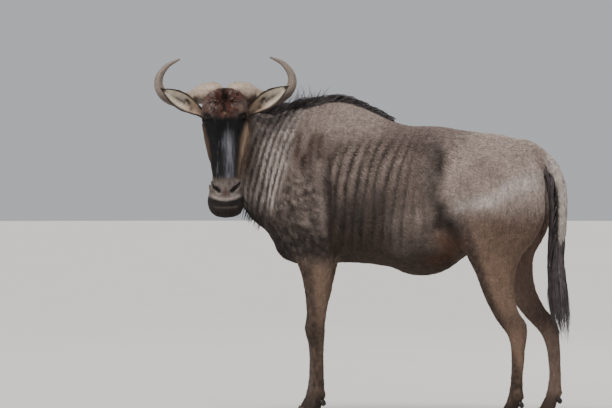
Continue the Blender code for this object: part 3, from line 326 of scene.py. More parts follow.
# Ridges and hollows of the head, in its own frame: start, end, width, height
HEAD_RELIEF = (
    ((0.046, 0.050, 0.070), (0.090, 0.006, 0.078), 0.013, 0.0040),
    ((0.078, 0.030, 0.126), (0.096, -0.012, 0.118), 0.006, -0.0024),
    ((0.082, 0.022, 0.136), (0.098, -0.016, 0.130), 0.006, 0.0018),
    ((0.072, 0.036, 0.140), (0.066, 0.030, 0.182), 0.010, -0.0045),
    ((0.090, -0.010, 0.145), (0.070, -0.006, 0.270), 0.014, 0.0040),
    ((0.088, -0.040, 0.170), (0.066, -0.034, 0.290), 0.016, -0.0040),
    ((0.040, 0.052, 0.150), (0.034, 0.052, 0.335), 0.010, 0.0022),
    ((0.074, -0.004, 0.374), (0.040, 0.040, 0.402), 0.008, 0.0034),
    ((0.030, 0.046, 0.440), (0.062, 0.020, 0.452), 0.012, 0.0030),
    ((0.000, 0.046, 0.402), (0.000, 0.038, 0.470), 0.006, -0.0022),
    ((0.000, 0.020, 0.505), (0.045, -0.006, 0.500), 0.010, 0.0024),
    ((0.050, -0.050, 0.395), (0.062, -0.020, 0.420), 0.008, -0.0024),
    ((0.060, -0.120, 0.120), (0.070, -0.060, 0.080), 0.022, 0.0040),
)
# Where the stripes of the flank and of the neck lie, and how far apart
RIB_SPACING = 0.0415
NECK_STRIPE_SPACING = 0.0280
# Rows of hair of the mane: the way it sets out, length, fall, how many locks, lock half width, clearance
MANE_HAIR = (
    (Vector((0.62, 0.14, 0.74)), 0.190, 0.72, 230, 0.014, 0.003),
    (Vector((0.20, 0.80, 0.35)), 0.175, 1.10, 120, 0.016, 0.004),
    (Vector((0.80, 0.35, 0.30)), 0.110, 0.60, 90, 0.013, 0.003),
    (Vector((1.00, -0.30, 0.16)), 0.060, 0.45, 110, 0.010, 0.002),
    (Vector((1.00, 0.02, 0.20)), 0.095, 0.24, 130, 0.009, 0.003),
)
LOCKS = {
    "forelock": (70, 260), "beard": (45, 150), "throat": (40, 130), "switch": (40, 130), "fringe": (35, 130),
}
POLL_SPIKES = 110  # loose hairs that stand behind the horns
POLL_SPIKE_LENGTH = 0.115
# Camera: how far round from the animal's left side, its height and distance, and what it aims at
CAMERA_AROUND = math.radians(8)
CAMERA_HEIGHT = 1.15
CAMERA_DISTANCE = 15.0
CAMERA_AIM = Vector((-0.390, 0.0, 0.905))
CAMERA_VIEW_WIDTH = 2.54
SENSOR_WIDTH = 36
FLOOR_RADIUS = 40
SKY_COLOUR = (0.92, 0.95, 1.0, 1)
SUN_COLOUR = (1.0, 0.965, 0.91)
SUN_WAY = Vector((0.22, 0.62, -1.0))  # the way its light falls
SUN_SPREAD = math.radians(24)
LAMP_AIM = Vector((0, 0, 0.9))
LAMP_SIZE = 3.0
# Lamps: place, colour
LAMPS = {
    "fill": (Vector((-4.5, -6.0, 2.2)), (0.94, 0.97, 1.0)),
    "back": (Vector((3.0, 5.0, 4.0)), (1.0, 0.98, 0.95)),
}


def smooth_rows(rows, count):
    """The rows read from one smooth curve through them, at an even spacing of rows."""
    table = np.array(rows, float)
    last = len(table) - 1
    found = []
    for place in np.linspace(0, last, count):
        i = min(int(place), last - 1)
        t = place - i
        before = table[max(i - 1, 0)]
        a, b = table[i], table[i + 1]
        after = table[min(i + 2, last)]
        m0, m1 = (b - before) / 2, (after - a) / 2
        found.append(
            (2 * t**3 - 3 * t**2 + 1) * a
            + (t**3 - 2 * t**2 + t) * m0
            + (3 * t**2 - 2 * t**3) * b
            + (t**3 - t**2) * m1
        )
    return np.array(found)


def whole_turn(steps):
    """The angles of one whole turn in this many steps."""
    return np.linspace(0, 2 * math.pi, steps, endpoint=False)


def section(centre, side, up, half, above, below, narrow_top=0.0, narrow_low=0.0):
    """A ring round centre: half wide each side, reaching above and below, narrower towards top and bottom."""
    points = []
    for k in range(RING):
        angle = 2 * math.pi * k / RING
        height = math.sin(angle)
        narrow = narrow_top if height > 0 else narrow_low
        aside = half * math.cos(angle) * (1 - narrow * height**2)
        rise = height * (above if height > 0 else below)
        points.append(centre + side * aside + up * rise)
    return points


def bridge(bm, first, second):
    """Joins two loops of points by a band of faces."""
    for k in range(len(first)):
        j = (k + 1) % len(first)
        bm.faces.new((first[k], first[j], second[j], second[k]))


def loft(bm, rings):
    """A closed tube through the rings, with its ends filled."""
    loops = [[bm.verts.new(p) for p in ring] for ring in rings]
    for first, second in zip(loops, loops[1:]):
        bridge(bm, first, second)
    bm.faces.new(list(reversed(loops[0])))
    bm.faces.new(loops[-1])


def ball(bm, centre, radii, turn=None, sides=24):
    """An ellipsoid of these half sizes, turned before it is moved to its centre."""
    matrix = Matrix.Translation(centre) @ (turn or Matrix()) @ Matrix.Diagonal((*radii, 1))
    bmesh.ops.create_uvsphere(bm, u_segments=sides, v_segments=sides * 2 // 3, radius=1, matrix=matrix)


def head_matrix():
    """Head frame to world: x to the animal's left, y out of the forehead, z down the face."""
    look = Vector((math.sin(FACE_AZIMUTH), -math.cos(FACE_AZIMUTH), 0))
    left = Vector((-look.y, look.x, 0))
    down = look * math.cos(FACE_PITCH) - Z_AXIS * math.sin(FACE_PITCH)
    out = look * math.sin(FACE_PITCH) + Z_AXIS * math.cos(FACE_PITCH)
    turned = Matrix((left, out, down)).transposed().to_4x4()
    roll = Matrix.Rotation(FACE_ROLL, 4, look)
    return Matrix.Translation(HEAD_POLL) @ roll @ turned


def add_trunk(bm):
    rings = []
    for x, top, low, wide, half, narrow in smooth_rows(TRUNK, 60):
        rings.append(section(Vector((x, 0, wide)), -Y_AXIS, Z_AXIS, half, top - wide, wide - low, narrow))
    loft(bm, rings)


def neck_frames(count):
    """Centre, left and upward directions, half width and depths along the neck."""
    rows = smooth_rows([(*centre, *sizes) for centre, *sizes in NECK], count)
    frames = []
    for i, row in enumerate(rows):
        along = Vector(rows[min(i + 1, count - 1)][:3] - rows[max(i - 1, 0)][:3]).normalized()
        side = Vector((-along.y, along.x, 0)).normalized()
        frames.append((Vector(row[:3]), side, along.cross(side).normalized(), *row[3:]))
    return frames


def add_neck(bm):
    rings = []
    for centre, side, up, half, above, below in neck_frames(34):
        rings.append(section(centre, side, up, half, above, below, 0.42, 0.15))
    loft(bm, rings)


def eye_place(side):
    """The middle of an eyeball, in the head's frame."""
    return Vector((EYE_PLACE.x * side, EYE_PLACE.y, EYE_PLACE.z))


def add_skull(bm):
    matrix = head_matrix()
    rings = []
    for down, fore, jaw, wide, half, narrow, narrow_low in smooth_rows(SKULL, 60):
        centre = Vector((0, wide, down))
        ring = section(centre, X_AXIS, Y_AXIS, half, fore - wide, wide - jaw, narrow, narrow_low)
        rings.append([matrix @ p for p in ring])
    loft(bm, rings)
    for side in (-1, 1):
        ball(bm, matrix @ eye_place(side), (EYE_RADIUS + LID_THICKNESS,) * 3)
        for (x, y, z), radii in HEAD_LUMPS:
            ball(bm, matrix @ Vector((side * x, y, z)), radii, matrix.to_3x3().to_4x4())


def add_leg(bm, rows, side, step):
    """A leg on one side, whose foot stands this step off the place its rows give."""
    rings = []
    top, low = STEP_SPREAD
    for z, x, y, long, wide in smooth_rows(rows, 70):
        share = min(max((top - z) / (top - low), 0.0), 1.0)
        x += step * share * share * (3 - 2 * share)
        rings.append(section(Vector((x, y * side, z)), X_AXIS, Y_AXIS, long, wide, wide))
    loft(bm, rings)


def add_tail(bm):
    rows = smooth_rows(TAIL, 40)
    rings = []
    for i, (x, z, radius) in enumerate(rows):
        ahead, behind = rows[min(i + 1, len(rows) - 1)], rows[max(i - 1, 0)]
        along = Vector((ahead[0] - behind[0], 0, ahead[1] - behind[1])).normalized()
        up = Vector((-along.z, 0, along.x))
        rings.append(section(Vector((x, 0, z)), Y_AXIS, up, radius, radius, radius))
    loft(bm, rings)


def add_muscles(bm):
    for side in (-1, 1):
        for (x, y, z), radii in MUSCLES:
            ball(bm, (x, y * side, z), radii)
    for centre, radii in (BRISKET, SHEATH):
        ball(bm, centre, radii)


def ramp(values, low, high):
    """0 below low, 1 above high, smooth between."""
    t = np.clip((values - low) / (high - low), 0, 1)
    return t * t * (3 - 2 * t)


def fall(values, low, high):
    """1 below low, 0 above high, smooth between."""
    return 1 - ramp(values, low, high)


def bell(values, middle, width):
    """1 at the middle, fading smoothly on both sides of it."""
    return np.exp(-(((values - middle) / width) ** 2))


def stroke(points, start, end, width):
    """1 on the straight stroke between start and end, fading smoothly round it."""
    return bell(stroke_distance(points, start, end), 0, width)


def spot(points, start, end, width):
    """The same for a stroke drawn on the side of the animal, in x and z."""
    return stroke(points[:, [0, 2]], start, end, width)


def values_of(mesh, name):
    """One vector a point: its place ("co") or its normal ("normal")."""
    found = np.empty(len(mesh.vertices) * 3)
    mesh.vertices.foreach_get(name, found)
    return found.reshape(-1, 3)


def points_of(mesh):
    return values_of(mesh, "co")


def normals_of(mesh):
    return values_of(mesh, "normal")


def set_points(mesh, points):
    mesh.vertices.foreach_set("co", np.asarray(points, float).ravel())
    mesh.update()


def relax(mesh, weights, rounds):
    """Evens the surface: each round moves every point towards the middle of its neighbours, by its weight."""
    points = points_of(mesh)
    ends = np.empty(len(mesh.edges) * 2, np.int64)
    mesh.edges.foreach_get("vertices", ends)
    a, b = ends.reshape(-1, 2).T
    size = len(points)
    count = np.bincount(np.concatenate((a, b)), minlength=size)
    for _ in range(rounds):
        sums = [np.bincount(a, points[b, k], size) + np.bincount(b, points[a, k], size) for k in range(3)]
        middle = np.stack(sums, axis=1) / count[:, None]
        points += (middle - points) * weights[:, None]
    set_points(mesh, points)


def in_head(points):
    """The same points in the head's frame."""
    inverse = np.array(head_matrix().inverted())
    return points @ inverse[:3, :3].T + inverse[:3, 3]


def headness(points):
    """1 on the head, 0 on the neck and body."""
    local = in_head(points)
    near = ramp(points[:, 1] + 0.6 * (points[:, 0] + 0.70), -0.02, -0.09)
    return near * ramp(local[:, 2], -0.10, -0.04) * ramp(points[:, 0], -0.52, -0.60)


def eye_directions(side):
    """Gaze, the line between the corners of the lids, and across it, in the head's frame."""
    gaze = Vector((0.84 * side, 0.54, -0.02)).normalized()
    corners = Vector((-0.50 * side, 0.72, 0.42))
    corners = (corners - gaze * corners.dot(gaze)).normalized()
    return gaze, corners, gaze.cross(corners)


def foot_places():
    """Name, x, y of the middle of each foot."""
    found = []
    for name, side in SIDES.items():
        fore = FORE_FOOT_X + (RIGHT_FORE_STEP if side > 0 else 0)
        hind = HIND_FOOT_X + (RIGHT_HIND_STEP if side > 0 else 0)
        found.append(("fore_" + name, fore, FORELEG[-1][2] * side))
        found.append(("hind_" + name, hind, HINDLEG[-1][2] * side))
    return found


def coronet_plane(foot_x, foot_y, drop):
    point = Vector((foot_x, foot_y, CORONET_HEIGHT - drop))
    return point, Vector((CORONET_SLOPE, 0, 1)).normalized()


def push_out(finder, point, clearance):
    """The point, moved out of the skin to at least this clearance from it."""
    near, normal, _, _ = finder.find_nearest(point)
    height = (point - near).dot(normal)
    if height < clearance:
        point = near + normal * clearance
    return point


def bent_path(root, start, length, fall, count):
    """Points that set out along start and drop under their own weight."""
    start = start.normalized()
    found = []
    for share in np.linspace(0, 1, count):
        drop = Vector((0, 0, -fall * length * share * share))
        found.append(root + start * length * share + drop)
    return found


def crest_point(finder, x):
    """The top of the neck or withers at this x, where the crest bends with the neck near the head."""
    bend = max(NECK_BEND_X - x, 0) / 0.07
    hit, normal, _, _ = finder.ray_cast(Vector((x, -0.02 * bend * bend, 2.0)), -Z_AXIS)
    return hit, normal


def linear(red, green, blue):
    """A colour as seen on a screen, from 0 to 1, as the shader's own linear one."""
    return tuple(c / 12.92 if c <= 0.04045 else ((c + 0.055) / 1.055) ** 2.4 for c in (red, green, blue))


def find_stand():
    """How far the animal's own frame stands from the packed one, from the place of its left eye."""
    low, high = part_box("eye_left")
    return (low + high) / 2 - head_matrix() @ EYE_PLACE


STAND = find_stand()


def put_in_scene(name, data):
    """A new object in the scene, for a mesh, a light or a camera."""
    made = bpy.data.objects.new(name, data)
    bpy.context.scene.collection.objects.link(made)
    return made


def new_object(name, bm):
    """An object in the scene, with its faces pointing out."""
    bmesh.ops.recalc_face_normals(bm, faces=bm.faces)
    mesh = bpy.data.meshes.new(name)
    bm.to_mesh(mesh)
    bm.free()
    return put_in_scene(name, mesh)


def apply_modifiers(item):
    """The object's mesh as its modifiers leave it, with none left on it."""
    graph = bpy.context.evaluated_depsgraph_get()
    mesh = bpy.data.meshes.new_from_object(item.evaluated_get(graph))
    item.modifiers.clear()
    old = item.data
    item.data = mesh
    bpy.data.meshes.remove(old)


def cut_away(item, cutters):
    """Cuts every cutter out of the item at once and removes them."""
    group = bpy.data.collections.new("cutters")
    for cutter in cutters:
        for used in list(cutter.users_collection):
            used.objects.unlink(cutter)
        group.objects.link(cutter)
    change = item.modifiers.new("cut", "BOOLEAN")
    change.operation = "DIFFERENCE"
    change.operand_type = "COLLECTION"
    change.collection = group
    change.solver = "EXACT"
    apply_modifiers(item)
    for cutter in cutters:
        bpy.data.objects.remove(cutter, do_unlink=True)
    bpy.data.collections.remove(group)


def put_values(mesh, name, kind, values):
    """Stores one value a point under this name."""
    if name in mesh.attributes:
        mesh.attributes.remove(mesh.attributes[name])
    made = mesh.attributes.new(name, kind, "POINT")
    field = {"FLOAT": "value", "FLOAT_VECTOR": "vector", "FLOAT_COLOR": "color"}[kind]
    if kind == "FLOAT_COLOR":
        values = np.concatenate((values, np.ones((len(values), 1))), axis=1)
    made.data.foreach_set(field, np.ascontiguousarray(values, dtype=np.float32).ravel())


def put_colour(mesh, colour):
    """Stores the colour that the paint of a piece reads."""
    put_values(mesh, "coat_colour", "FLOAT_COLOR", colour)


def lattice_noise(points, size, seed=0):
    """Smooth noise from -1 to 1 whose grain is this size."""
    places = points / size
    low = np.floor(places).astype(np.int64)
    share = places - low
    share = share * share * (3 - 2 * share)
    total = np.zeros(len(points))
    for corner in range(8):
        offset = np.array([(corner >> k) & 1 for k in range(3)])
        cell = low + offset
        mixed = cell[:, 0] * 73856093 ^ cell[:, 1] * 19349663 ^ cell[:, 2] * 83492791
        mixed = mixed ^ (seed * 2654435761 + 97)
        mixed = (mixed ^ (mixed >> 13)) * 1274126177
        mixed = (mixed ^ (mixed >> 16)) & 0xFFFF
        weight = np.prod(np.where(offset, share, 1 - share), axis=1)
        total += weight * (mixed / 32767.5 - 1)
    return total


def stroke_distance(points, start, end):
    """How far each point is from the straight stroke between start and end."""
    start, end = np.array(start, float), np.array(end, float)
    along = end - start
    share = np.clip(((points - start) @ along) / (along @ along), 0, 1)
    return np.linalg.norm(points - start - share[:, None] * along, axis=1)


def chain_distance(points, chain):
    """How far each point is from the nearest stroke of the chain."""
    return np.min([stroke_distance(points, a, b) for a, b in zip(chain, chain[1:])], axis=0)


def all_over(colour, count):
    """One colour at each of this many points."""
    return np.repeat(np.array(colour)[None, :3], count, axis=0)


def mix(base, tint, weight):
    """The base colours, with the tint laid over them by this weight."""
    return base + (np.array(tint)[None, :3] - base) * np.clip(weight, 0, 1)[:, None]


class Paint:
    """The colours of some points, laid one over the other."""

    def __init__(self, tints, base, count):
        self.tints = tints
        self.colour = all_over(tints[base], count)

    def lay(self, name, weight):
        """Lays this tint over the colours, by its weight at each point."""
        self.colour = mix(self.colour, self.tints[name], weight)


def face_places(points):
    """The points in the head's frame with both sides on one, and how far each is below the poll."""
    local = in_head(points)
    folded = local.copy()
    folded[:, 0] = np.abs(folded[:, 0])
    return local, folded, local[:, 2] - math.cos(FACE_PITCH) / math.sin(FACE_PITCH) * local[:, 1]


def rib_phase(points):
    """Counts the stripes of the flank from front to back: they bow like the ribs under them."""
    x, z = points[:, 0], points[:, 2]
    bow = 1.15 * np.maximum(z - 0.93, 0) ** 2 * fall(x, 0.0, 0.30) - 0.10 * np.maximum(0.86 - z, 0)
    bow -= 0.35 * np.maximum(0.93 - np.abs(z - 0.95) * 3 - 0.6, 0) * ramp(x, 0.0, 0.25) * 0.2
    wander = 0.010 * lattice_noise(points * np.array((1, 0.3, 0.35)), 0.07, 3)
    return (x - bow + wander) / RIB_SPACING


def neck_phase(points):
    """Counts the stripes of the neck, which lean with their tops to the rear."""
    lean = 0.30 * (points[:, 2] - 1.1) + 0.25 * (points[:, 2] - 1.1) ** 2
    wander = 0.009 * lattice_noise(points * np.array((1, 0.3, 0.22)), 0.05, 5)
    return (points[:, 0] - lean + wander) / NECK_STRIPE_SPACING


def stripe(phase, low, high):
    """1 in the middle of each stripe, 0 between them."""
    return ramp(0.5 + 0.5 * np.cos(2 * math.pi * phase), low, high)


def flank_masks(points):
    """Where the stripes of the flank and of the neck, and the bare shoulder between them, show."""
    x, z = points[:, 0], points[:, 2]
    body = 1 - headness(points)
    lean = x - 0.25 * (z - 1.1)
    flank = ramp(x, -0.285, -0.245) * fall(x, 0.02, 0.26) * ramp(z, 0.66, 0.80)
    flank = flank * fall(z - 0.12 * (x + 0.28), 1.10, 1.20)
    neck = fall(lean, -0.465, -0.425) * ramp(z, 0.84, 0.93) * body
    shoulder = ramp(lean, -0.465, -0.425) * fall(x, -0.285, -0.245) * ramp(z, 0.62, 0.75)
    return flank, neck, shoulder


def leg_zone(points):
    """1 on the legs below the trunk, 0 above."""
    x, z, aside = points[:, 0], points[:, 2], np.abs(points[:, 1])
    fore = fall(z, 0.62, 0.72) * fall(x, -0.262, -0.240) * ramp(aside, 0.035, 0.060)
    hind = fall(z, 0.62, 0.86) * ramp(x, 0.20, 0.28) * ramp(aside, 0.02, 0.04)
    return np.maximum(fore, hind)


def markings(points, normals, tints):
    """The colour of skin and coat at each point."""
    x, z, aside = points[:, 0], points[:, 2], np.abs(points[:, 1])
    fine = lattice_noise(points, 0.012, 1)
    broad = lattice_noise(points, 0.09, 2)
    streak = lattice_noise(points * np.array((1, 0.4, 0.14)), 0.011, 8)
    wide_streak = lattice_noise(points * np.array((1, 0.4, 0.12)), 0.024, 9)
    coat = Paint(tints, "body", len(points))
    lay = coat.lay
    lay("pale", 0.25 + 0.35 * broad + 0.15 * streak)
    flank, neck, shoulder = flank_masks(points)
    # back, withers and rump
    withers = ramp(z, 1.12, 1.24) * ramp(x, -0.47, -0.35) * fall(x, -0.10, 0.02)
    lay("pale", 0.85 * withers)
    levels, edges = (0.83, 0.95, 1.05, 1.13, 1.19, 1.24), (0.230, 0.203, 0.208, 0.214, 0.245, 0.330)
    haunch = x - np.interp(z, levels, edges)
    haunch = haunch / (1 + 4.5 * ramp(z, 1.10, 1.22))  # the edge fades over the back
    back = ramp(z, 1.05, 1.17) * ramp(x, -0.10, 0.02) * fall(haunch, -0.03, 0.02)
    lay("brown", 0.80 * back)
    rump = ramp(haunch + 0.006 * streak, -0.018, 0.026) * ramp(z, 0.80, 0.95)
    lay("rump", rump * (0.82 + 0.18 * broad))
    grey = spot(points, (0.34, 1.07), (0.42, 1.02), 0.035)
    grey += 0.7 * spot(points, (0.47, 0.93), (0.52, 0.88), 0.04)
    lay("brown", 0.45 * rump * grey)
    # painted highlight: a silver sheen laid in two strokes along the rump
    sheen = spot(points, (0.27, 0.905), (0.40, 0.925), 0.030)
    sheen += spot(points, (0.46, 0.965), (0.56, 1.010), 0.040)
    lay("silver", 0.85 * np.minimum(sheen, 1) * (0.75 + 0.35 * streak))
    thigh = ramp(x, 0.24, 0.32) * fall(z, 0.80, 0.93)
    lay("leg", 0.70 * thigh)
    lay("shoulder", 0.38 * thigh * ramp(z, 0.62, 0.70))
    # shoulder: streaks above, mottled curls below
    high = ramp(z, 1.00, 1.10)
    streaks = np.clip(0.42 + 0.75 * wide_streak + 0.35 * streak, 0, 1)
    lay("shoulder", shoulder * (1 - 0.75 * withers) * high * streaks)
    lay("dark_brown", shoulder * high * (1 - withers) * 0.7 * ramp(streak + 0.4 * wide_streak, 0.2, 0.8))
    lay("shoulder", 0.40 * flank * fall(x, 0.05, 0.20))
    curls = np.clip(0.62 + 0.9 * fine, 0, 1)
    lay("dark_brown", shoulder * (1 - high) * curls * 0.85)
    flecks = ramp(lattice_noise(points * np.array((0.7, 1, 1)), 0.009, 11), 0.25, 0.75)
    lay("pale", shoulder * (1 - high) * ramp(z, 0.80, 0.88) * flecks * 0.60)
    band = spot(points, (-0.318, 1.08), (-0.288, 0.79), 0.016) * ramp(aside, 0.08, 0.14)
    lay("pale", 0.55 * band * (0.7 + 0.3 * fine))
    # stripes
    lower = fall(z, 0.84, 1.02)
    lay("dark", 0.84 * flank * lower * fall(x, -0.05, 0.08) * np.clip(0.9 + 0.5 * wide_streak, 0.3, 1.1))
    # painted highlight: two patches of gloss on the flank, laid in the pale tint
    gloss = spot(points, (0.02, 0.84), (0.13, 0.86), 0.055)
    gloss += 0.6 * spot(points, (-0.18, 1.10), (-0.02, 1.04), 0.05)
    lay("pale", 0.60 * gloss * (0.6 + 0.6 * wide_streak))
    fade = 1 - 0.55 * ramp(x, -0.10, 0.16)
    ribs = stripe(rib_phase(points), 0.45, 0.95) * np.clip(0.85 + 0.5 * streak + 0.3 * broad, 0.2, 1)
    lay("dark", flank * fade * ribs * 0.95)
    thin_ribs = stripe(2.0 * rib_phase(points) + 0.9 * broad, 0.70, 1.0) * ramp(wide_streak, -0.1, 0.5)
    lay("dark", 0.60 * flank * fade * thin_ribs)
    between = stripe(rib_phase(points) + 0.5, 0.60, 1.00) * (1 - lower)
    lay("pale", 0.50 * flank * between * fall(x, -0.02, 0.12) * ramp(z, 0.92, 1.06))
    lay("shoulder", 0.12 * neck)
    light_lines = stripe(neck_phase(points) + 0.5, 0.35, 0.95) * np.clip(0.80 + 0.6 * streak, 0, 1)
    lay("silver", neck * light_lines * 0.92)
    necks = stripe(neck_phase(points), 0.35, 0.95) * np.clip(0.65 + 0.6 * streak, 0, 1)
    lay("dark_brown", neck * necks * (0.92 - 0.35 * ramp(z, 1.02, 1.20)))
    hairs = ramp(lattice_noise(points * np.array((1, 0.3, 0.10)), 0.006, 12), 0.3, 0.8)
    lay("silver", 0.55 * neck * hairs)
    # painted shade in the folds: behind the elbow, at the front of the rump, in the flank hollow and before
    # the thigh
    painted_crease_shade = spot(points, (-0.268, 1.00), (-0.252, 0.68), 0.014) * ramp(aside, 0.08, 0.13)
    lay("dark", 0.90 * painted_crease_shade)
    painted_rump_edge_shade = bell(haunch, -0.022, 0.014) * ramp(z, 1.00, 1.06) * fall(z, 1.12, 1.17)
    painted_hollow_shade = bell(haunch, -0.050, 0.040) * ramp(z, 0.84, 0.96) * fall(z, 1.10, 1.20)
    lay("dark", np.minimum(0.50 * painted_rump_edge_shade + 0.42 * painted_hollow_shade, 1) * ramp(aside, 0.06, 0.11))
    fold = spot(points, (0.190, 0.90), (0.180, 0.83), 0.024)
    fold += spot(points, (0.225, 0.83), (0.315, 0.66), 0.036)
    lay("dark", 0.90 * np.minimum(fold, 1) * ramp(aside, 0.05, 0.10))
    # underside, chest and groin
    edge = np.interp(x, (-0.30, -0.15, 0.02, 0.16), (0.835, 0.785, 0.725, 0.745))
    under = fall(z - edge + 0.02 * broad, -0.045, 0.045) * (1 - leg_zone(points)) * fall(x, 0.26, 0.34)
    lay("dark_belly", 0.93 * under * ramp(x, -0.30, -0.25))
    groin = spot(points, (0.195, 0.765), (0.255, 0.725), 0.040)
    groin += 0.5 * spot(points, (0.14, 0.68), (0.24, 0.70), 0.035)
    lay("orange", 0.65 * np.minimum(groin, 1) * (1 - leg_zone(points)))
    chest = fall(x, -0.30, -0.27) * fall(z + 0.45 * (x + 0.45), 0.80, 0.90) * (1 - leg_zone(points))
    lay("dark", 0.88 * chest * (0.9 + 0.25 * fine))
    throat = fall(aside, 0.02, 0.06) * fall(x, -0.50, -0.40) * fall(z, 1.0, 1.15)
    lay("dark", 0.85 * throat)
    # legs
    leg = leg_zone(points)
    lay("leg", 0.90 * leg)
    mottle = np.clip(0.85 + 0.45 * fine, 0, 1)
    fore_front = fall(x + 0.10 * (z - 0.5), -0.345, -0.305) * (x < 0)
    lay("dark", 0.85 * leg * fore_front * mottle)
    hind_front = fall(x + 0.36 * (z - 0.70), 0.325, 0.365) * (x > 0)
    lay("dark", 0.85 * np.maximum(leg, thigh) * hind_front * mottle)
    inside = leg * ramp(-normals[:, 1] * np.sign(points[:, 1]), 0.2, 0.7)
    lay("brown", 0.45 * inside)
    lay("dark", 0.60 * leg * fall(z, 0.09, 0.14))
    joints = bell(z, 0.385, 0.045) * (x < 0) + bell(z, 0.43, 0.05) * (x > 0)
    lay("dark_brown", 0.45 * leg * joints)
    # tail: pale behind, dark towards the legs
    tail = ramp(x, 0.590, 0.625) * fall(aside, 0.040, 0.060) * ramp(z, 0.5, 0.6)
    lay("silver", 0.80 * tail)
    lay("black", 0.92 * tail * ramp(-normals[:, 0], 0.05, 0.40) * fall(z, 1.03, 1.10))
    # crest under the mane
    crest = ramp(normals[:, 2], 0.80, 0.96) * ramp(z, 1.20, 1.24) * fall(x, -0.06, 0.0)
    lay("black", 0.9 * crest * fall(aside, 0.012, 0.030))
    return head_markings(points, coat.colour, tints, fine)


def head_markings(points, colour, tints, fine):
    """Lays the colours of the head over the others."""
    on_head = headness(points)
    near = np.nonzero(on_head > 0)[0]
    if not len(near):
        return colour
    local, folded, drop = face_places(points[near])
    side, out, down = folded[:, 0], folded[:, 1], folded[:, 2]
    left = ramp(local[:, 0], -0.01, 0.01)  # 1 on the animal's left
    fine = fine[near]
    hair = lattice_noise(local * np.array((1, 1, 0.16)), 0.006, 6)
    patch = lattice_noise(local, 0.028, 7)
    face = Paint(tints, "cheek", len(near))
    lay = face.lay
    lay("dark_brown", 0.40 + 0.45 * hair + 0.3 * patch)
    # jaw pales to grey towards the neck
    jaw = fall(out, -0.110, -0.050) * fall(down, 0.30, 0.38)
    lay("body", 0.45 * jaw)
    # forehead, reddish with a dark middle and paler flanks
    forehead = fall(drop + 0.010 * hair, 0.085, 0.112) * ramp(out, -0.040, 0.005)
    lay("forehead", 0.92 * forehead)
    flanks = ramp(side, 0.030, 0.052) * ramp(drop, 0.025, 0.060)
    lay("muzzle", forehead * flanks * np.clip(0.55 + 0.5 * hair, 0, 1) * 0.8)
    middle = bell(side, 0, 0.014 + 0.25 * np.maximum(0.05 - drop, 0)) * fall(drop, 0.03, 0.075)
    lay("black", 0.55 * middle * forehead)
    lay("dark", forehead * np.clip(0.08 + 0.5 * hair + 0.3 * patch, 0, 0.7))
    # black blaze from the eyes to the muzzle, with a painted sheen highlight down its middle and in fine
    # streaks at its top
    edge = np.interp(down, (0.09, 0.13, 0.20, 0.30, 0.37), (0.104, 0.088, 0.070, 0.058, 0.051)) - 0.008 * left
    edge = edge + 0.004 * hair
    blaze = ramp(drop + 0.008 * hair, 0.090, 0.116) * fall(drop, 0.345, 0.378)
    blaze = blaze * fall(side - edge, -0.007, 0.007) * ramp(out, -0.040, -0.005)
    lay("face", 0.98 * blaze)
    slate = bell(local[:, 0], 0.016, 0.019) * ramp(down, 0.15, 0.23)
    lay("slate", 0.90 * blaze * slate * np.clip(0.75 + 0.55 * hair, 0, 1))
    high_streaks = ramp(hair, 0.25, 0.8) * ramp(down, 0.09, 0.13) * fall(side, 0.03, 0.05)
    lay("slate", 0.35 * blaze * high_streaks)
    # pale streak of the cheek beside the blaze, laid strong on the animal's left as painted light and faint
    # on its right as painted shade
    cheek = bell(side - edge, 0.016, 0.012) * ramp(down, 0.11, 0.15) * fall(down, 0.33, 0.38)
    lay("tan", cheek * np.clip(0.75 + 0.5 * hair, 0, 1) * (0.25 + 0.70 * left))
    # brows and round the eyes
    brow = stroke(folded, (0.056, 0.046, 0.076), (0.080, 0.026, 0.084), 0.009)
    lay("tan", 0.55 * brow * np.clip(0.7 + 0.6 * hair, 0, 1))
    eye = np.linalg.norm(folded - np.array((EYE_PLACE.x + 0.015, EYE_PLACE.y + 0.010, EYE_PLACE.z)), axis=1)
    lay("black", 0.90 * fall(eye, 0.014, 0.028))
    below_eye = stroke(folded, (0.078, 0.026, 0.130), (0.070, 0.030, 0.175), 0.012)
    lay("face", 0.85 * below_eye)
    star = np.linalg.norm(local[:, [0, 2]] - np.array((0.002, 0.098)), axis=1)
    lay("tan", 0.55 * fall(star, 0.003, 0.008) * ramp(out, 0.0, 0.02))
    # muzzle
    muzzle = ramp(drop + 0.006 * fine, 0.348, 0.385)
    lay("muzzle", 0.92 * muzzle)
    lay("dark_brown", muzzle * np.clip(0.20 + 0.45 * fine + 0.3 * patch, 0, 1))
    septum = bell(side, 0, 0.012) * bell(drop, 0.425, 0.018)
    lay("forehead", 0.75 * septum)
    pad = stroke(folded, (0.044, 0.040, 0.420), (0.030, 0.044, 0.440), 0.009)
    lay("lip", 0.60 * pad)
    lip_top = 0.450 - 4.6 * np.minimum(side, 0.07) ** 2
    lip = bell(drop, lip_top, 0.0062) * fall(side, 0.050, 0.064) * ramp(out, -0.02, 0.01)
    lay("lip", 0.80 * lip * np.clip(0.9 + 0.3 * fine, 0, 1))
    lips = ramp(drop - lip_top, 0.006, 0.013)
    lay("face", 0.88 * lips)
    lay("dark_brown", 0.5 * ramp(drop - lip_top, 0.022, 0.030))
    mouth_line = bell(drop + 1.5 * side**2, 0.487, 0.0035) * ramp(out, -0.045, -0.02)
    lay("muzzle", 0.30 * mouth_line * fall(side, 0.040, 0.055))
    slit = chain_distance(folded, [row[:3] for row in NOSTRIL])
    lay("black", 0.97 * fall(slit, 0.007, 0.012))
    chin = ramp(drop, 0.497, 0.510)
    lay("dark_brown", chin * np.clip(0.35 + 0.6 * hair, 0, 1))
